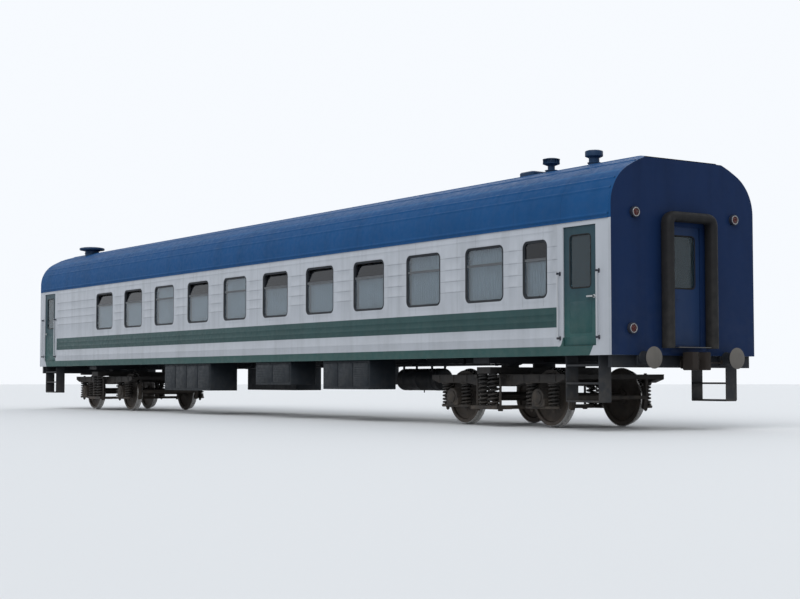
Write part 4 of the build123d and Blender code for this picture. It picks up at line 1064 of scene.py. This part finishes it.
# Bogies: frames cast and welded of steel, kept as they are, with brake shoes, beams and bolsters, all under a
# coat of brown brake dust. Flanges, gussets, guide posts with nuts, and bolted plates are added to them.
AXLE_X = 1.2
SPRING_OUT, SPRING_Y = 0.285, 1.018
SPRINGS_X = [x + out for x in (-AXLE_X, AXLE_X) for out in (-SPRING_OUT, SPRING_OUT)]
bogie_grey = paint(
    "bogie_grey", (0.024, 0.024, 0.025), gloss=0.58, streaks=0.25, dust=(0.11, 0.088, 0.068), dust_z=(0.2, 1.15),
    dust_most=0.6, grain=50, relief=0.0016, mottle=6,
)
for name in ("bogie_frame", "bolster", "spring_plank", "brake_gear"):
    dress(bogie_grey, f"{name}_front", f"{name}_rear")
trim = [block((-1.85, 0.922, 0.877), (1.85, 1.114, 0.892), 0.004, 0, 0.006)]
for x in (-1.62, -1.2, -0.80, -0.47, 0.47, 0.80, 1.2, 1.62):
    trim.append(block((x - 0.009, 1.100, 0.768), (x + 0.009, 1.114, 0.878), 0.003, 2, 0.004))
guide = [(0.0005, 0.262), (0.016, 0.264), (0.016, 0.276), (0.030, 0.278), (0.030, 0.300), (0.024, 0.303),
         (0.024, 0.35), (0.024, 0.75)]
seat = [(0.108, 0.726), (0.108, 0.750), (0.06, 0.756)]
nut = [(0.028, 0.890), (0.028, 0.908), (0.020, 0.912), (0.0005, 0.912)]
for profile, facets in ((guide, 24), (seat, 40), (nut, 6)):
    trim.append(moved(turned(profile, (0, 0, 0), 2, facets), *[(x, SPRING_Y, 0) for x in SPRINGS_X]))
bolt_head = turned([(0.012, 0), (0.012, 0.008), (0.009, 0.010), (0.0005, 0.010)], (0, 0, 0), 1, 6)
for x in (-0.43, 0.43):
    trim.append(block((x - 0.07, 1.101, 0.765), (x + 0.07, 1.109, 0.872), 0.003, 1, 0.01))
    trim.append(moved(bolt_head, *[(x + out, 1.109, z) for out in (-0.045, 0.045) for z in (0.79, 0.848)]))
bogie_trim = mirrored(merged(trim))

# Springs: coils wound from round bar and painted dark, their end turns closed up. Two are nested in each place,
# between round plates.
CLOSED_TURNS = 0.9
BAR_FACETS = 8
spring_dark = paint(
    "spring_dark", (0.020, 0.020, 0.021), streaks=0.1, dust=(0.11, 0.09, 0.07), dust_z=(0.2, 1.0), dust_most=0.4,
    grain=70,
)


def coil(radius, wire, turns, foot, top, hand=1):
    """A helix of round bar between two heights. Its rise is slow over the first and last turn, where the turns
    lie together."""
    t = np.linspace(0, turns, int(turns * 22) + 1)
    rise = top - foot - 2 * wire
    start = CLOSED_TURNS * 2 * wire * 1.05
    height = np.interp(t, [0, CLOSED_TURNS, turns - CLOSED_TURNS, turns], [0, start, rise - start, rise])
    angle = hand * 2 * np.pi * t
    out = np.stack([np.cos(angle), np.sin(angle), np.zeros_like(t)], -1)
    centre = radius * out + (foot + wire + height)[:, None] * (0, 0, 1)
    up = np.cross(directions(centre), out)
    turn = np.linspace(0, 2 * np.pi, BAR_FACETS, endpoint=False)[None, :, None]
    ring = np.cos(turn) * out[:, None] + np.sin(turn) * up[:, None]
    return closed(grid(centre[:, None] + wire * ring, around=True), BAR_FACETS)


def nested(outer, inner, foot, top, reach):
    """Two coils of opposite hands, one within the other, between two round plates."""
    parts = [coil(*outer, foot, top), coil(*inner, foot, top, hand=-1)]
    for z in (foot, top - 0.01):
        parts.append(block((-reach, -reach, z), (reach, reach, z + 0.01), 0.003, 2, reach - 0.002))
    return merged(parts)


box_spring = nested((0.082, 0.0165, 6.5), (0.048, 0.010, 9.5), 0.363, 0.748, 0.1)
bolster_spring = nested((0.085, 0.0185, 8), (0.048, 0.011, 12), 0.358, 0.908, 0.104)
bogie_springs = merged([
    moved(box_spring, *[(x, y, 0) for x in SPRINGS_X for y in (-SPRING_Y, SPRING_Y)]),
    moved(bolster_spring, *[(x, y, 0) for x in (-0.13, 0.13) for y in (-1.225, 1.225)]),
])

# Axle boxes: cast steel housings, each with a bolted cover over the journal's end, on a bar that carries a
# spring on either side.
AXLE_Z = RAIL + 0.475
COVER_BOLTS = 8
cover = [(0.110, 0), (0.110, 0.008), (0.098, 0.010), (0.088, 0.014), (0.045, 0.014), (0.035, 0.020),
         (0.0005, 0.020)]
cover_bolt = [(0.011, 0), (0.011, 0.005), (0.009, 0.007), (0.0005, 0.007)]
barrel = [(0.148, 0.897), (0.150, 0.905), (0.150, 1.136), (0.144, 1.143), (0.10, 1.145)]
spring_foot = [(0.03, 0.298), (0.034, 0.302), (0.034, 0.318)]
axle_box = [
    turned(cover, (0, 1.150, AXLE_Z), 1, 40),
    turned(barrel, (0, 0, AXLE_Z), 1, 48),
    block((-0.165, 0.90, 0.35), (0.165, 1.136, AXLE_Z - 0.01), 0.012, 1, 0.03),
    block((-0.41, 0.933, 0.318), (0.41, 1.103, 0.363), 0.010, 2, 0.08),
]
for angle in np.arange(COVER_BOLTS) * 2 * np.pi / COVER_BOLTS:
    place = (0.098 * np.cos(angle), 1.158, AXLE_Z + 0.098 * np.sin(angle))
    axle_box.append(turned(cover_bolt, place, 1, 6))
for x in (-SPRING_OUT, SPRING_OUT):
    axle_box.append(turned(spring_foot, (x, SPRING_Y, 0), 2, 24))
axle_boxes = mirrored(moved(merged(axle_box), (-AXLE_X, 0, 0), (AXLE_X, 0, 0)))

# Wheelsets: forged wheels pressed on to an axle. Their treads and flanges are rolled bright and the dished webs
# and rims carry brown dust.
PIVOT_X = 8.5
wheel_grey = paint(
    "wheel_grey", (0.055, 0.050, 0.047), gloss=0.55, metallic=0.3, streaks=0.2, dust=(0.12, 0.092, 0.07),
    dust_z=(0, 1.2), dust_most=0.5, grain=60, relief=0.0012, mottle=5,
)
tread_steel = paint(
    "tread_steel", (0.46, 0.45, 0.44), gloss=0.24, metallic=0.95, streaks=0.2, dust_z=(0, 1), dust_most=0.06,
    grain=300,
)
inner_face = [(0.081, 0), (0.081, 0.682), (0.118, 0.702), (0.134, 0.704), (0.135, 0.735), (0.20, 0.768),
              (0.33, 0.772), (0.392, 0.752), (0.402, 0.728), (0.410, 0.7215), (0.484, 0.7205)]
rolled = [(0.484, 0.7205), (0.496, 0.7225), (0.5025, 0.731), (0.5015, 0.738), (0.490, 0.750), (0.480, 0.756),
          (0.4755, 0.766), (0.4745, 0.79), (0.4715, 0.835), (0.465, 0.8495)]
outer_face = [(0.465, 0.8495), (0.412, 0.8495), (0.404, 0.842), (0.396, 0.815), (0.34, 0.792), (0.20, 0.793),
              (0.142, 0.808), (0.135, 0.815), (0.134, 0.829), (0.118, 0.830), (0.082, 0.832), (0.082, 0.872),
              (0.066, 0.880), (0.065, 1.092), (0.0005, 1.093)]
for end, name, first in ((1, "front", 1), (-1, "rear", 3)):
    bogie = f"bogie_{name}"
    pivot = (end * PIVOT_X, 0, 0)
    piece(
        f"coil_springs_{name}", [(spring_dark, moved(bogie_springs, pivot))], bogie,
        stands_for=(f"springs_{name}",), crease=60,
    )
    piece(f"frame_trim_{name}", [(bogie_grey, moved(bogie_trim, pivot))], bogie)
    piece(
        f"axle_box_castings_{name}", [(bogie_grey, moved(axle_boxes, pivot))], bogie,
        stands_for=(f"axle_boxes_{name}",),
    )
    for number, x in ((first, AXLE_X), (first + 1, -AXLE_X)):
        centre = (end * PIVOT_X + x, 0, AXLE_Z)
        dull = mirrored(merged([turned(inner_face, centre, 1, 72), turned(outer_face, centre, 1, 72)]))
        bright = mirrored(turned(rolled, centre, 1, 96))
        piece(
            f"wheels_and_axle_{number}", [(wheel_grey, dull), (tread_steel, bright)], f"wheelset_{number}_body",
            stands_for=(f"wheelset_{number}",), crease=30,
        )

# Inside: linoleum on the floor, and laminated board with its grain upright for the bulkheads, the corridor wall
# and the partitions. They are the CAD's own.
LINO = (0.105, 0.060, 0.036)


def floor_faces(tree):
    """Brown lino on top, and dark painted steel below it."""
    return blend_colours(tree, band(tree, place_of(tree)[2], 0, RAIL + 1.285), LINO, (0.014, 0.016, 0.018))


lino = paint(
    "lino", LINO, gloss=0.4, streaks=0.2, dust_z=(1.2, 1.6), dust_most=0.1, mottle=8, pattern=floor_faces,
)
laminate = paint("laminate", (0.44, 0.34, 0.22), gloss=0.34, streaks=0.35, dust_most=0.0, mottle=6, grain=180)
dress(lino, "floor")
dress(laminate, "bulkheads", "corridor_wall", "partitions")

# Berths: two tiers on each side of every compartment, boards with a stuffed leatherette cushion, and a table
# with a turned-up edge beneath the window, held by a bent strut.
BERTH_OUT, BERTH_IN = 0.08 - lining_y, 1.88 - lining_y
BERTH_X = 0.605
BERTH_FEET = (1.758, 2.888)
BOARD = 0.018
SIDE_LEVELS = ((0, 0.008), (0.1, 0.002), (0.4, 0), (0.42, -0.002), (0.46, 0), (0.68, 0.002), (0.8, 0.010))
board_brown = paint(
    "board_brown", (0.13, 0.07, 0.035), gloss=0.3, streaks=0.3, dust_most=0.0, mottle=7, grain=150,
)


def leatherette(name, colour):
    """Grained plastic leather: small round cells in relief and a broad, faint wear pattern."""
    material, tree, shader = new_material(name)
    cells = node(tree, "TexVoronoi", {"feature": "DISTANCE_TO_EDGE"}, Vector=own_place(tree), Scale=260)
    worn = ramp(tree, noise(tree, 2.6), 0.4, 0.75, 0.0, 0.35)
    base = blend_colours(tree, worn, colour, tuple(channel * 1.5 for channel in colour))
    plug(shader, Base_Color=base, Roughness=ramp(tree, noise(tree, 6), 0.3, 0.7, 0.34, 0.5))
    emboss(tree, shader, 0.35, 0.0008, cells.outputs["Distance"])
    return material


def cushion(length, depth, height):
    """A padded slab: flat beneath, its sides bulge and pull in between the corners, and its top rises to a crown
    with two shallow seams across it, a sixth of its length from the middle."""
    u, v = rounded(depth / 2, length / 2, 0.045, 7).T
    pull_u = 1 - 0.015 * (1 - (2 * v / length) ** 2)
    pull_v = 1 - 0.004 * (1 - (2 * u / depth) ** 2)
    outline = np.stack([u * pull_u, v * pull_v], -1)
    reach = np.array((depth / 2, length / 2))
    rings = []
    for level, draw in SIDE_LEVELS:
        rings.append(np.column_stack([outline * (1 - draw / reach), np.full(len(u), level * height)]))
    for share in np.linspace(1, 0, 10)[1:-1]:
        flat = outline * (1 - 0.010 / reach) * share
        seam = 0.006 * np.exp(-(((np.abs(flat[:, 1]) - length / 6) / 0.012) ** 2)) * (1 - share**4)
        rings.append(np.column_stack([flat, height * (0.8 + 0.2 * (1 - share**2.2)) - seam]))
    return closed(grid(np.array(rings), around=True), len(u))


berth_leather = leatherette("berth_leather", (0.16, 0.040, 0.022))
compartments = [(x, 0, 0) for x, _ in WINDOWS[:10]]
berths = [(x + side, 0, foot) for x, _, _ in compartments for side in (-BERTH_X, BERTH_X) for foot in BERTH_FEET]
board = block((-0.28, BERTH_OUT, 0), (0.28, BERTH_IN, BOARD), 0.004, 2, 0.02)
pad = moved(cushion(1.78, 0.545, 0.05), (0, (BERTH_OUT + BERTH_IN) / 2, BOARD + 0.001))
strut = [(0, 0.02 - lining_y, 1.66), (0, 0.40 - lining_y, 2.0), (0, 0.42 - lining_y, 2.05)]
table = merged([
    block((-0.24, -lining_y, 2.048), (0.24, 0.56 - lining_y, 2.070), 0.006, 2, 0.05),
    block((-0.235, 0.001 - lining_y, 2.069), (0.235, 0.012 - lining_y, 2.073), 0.002, 0),
    tube(bent(strut, 0.05), 0.014, (1, 0, 0)),
])
piece(
    "berth_boards", [(board_brown, moved(board, *berths)), (board_brown, moved(table, *compartments))],
    stands_for=("berths_and_tables",),
)
cushions = piece("berth_cushions", [(berth_leather, moved(pad, *berths))], crease=60)
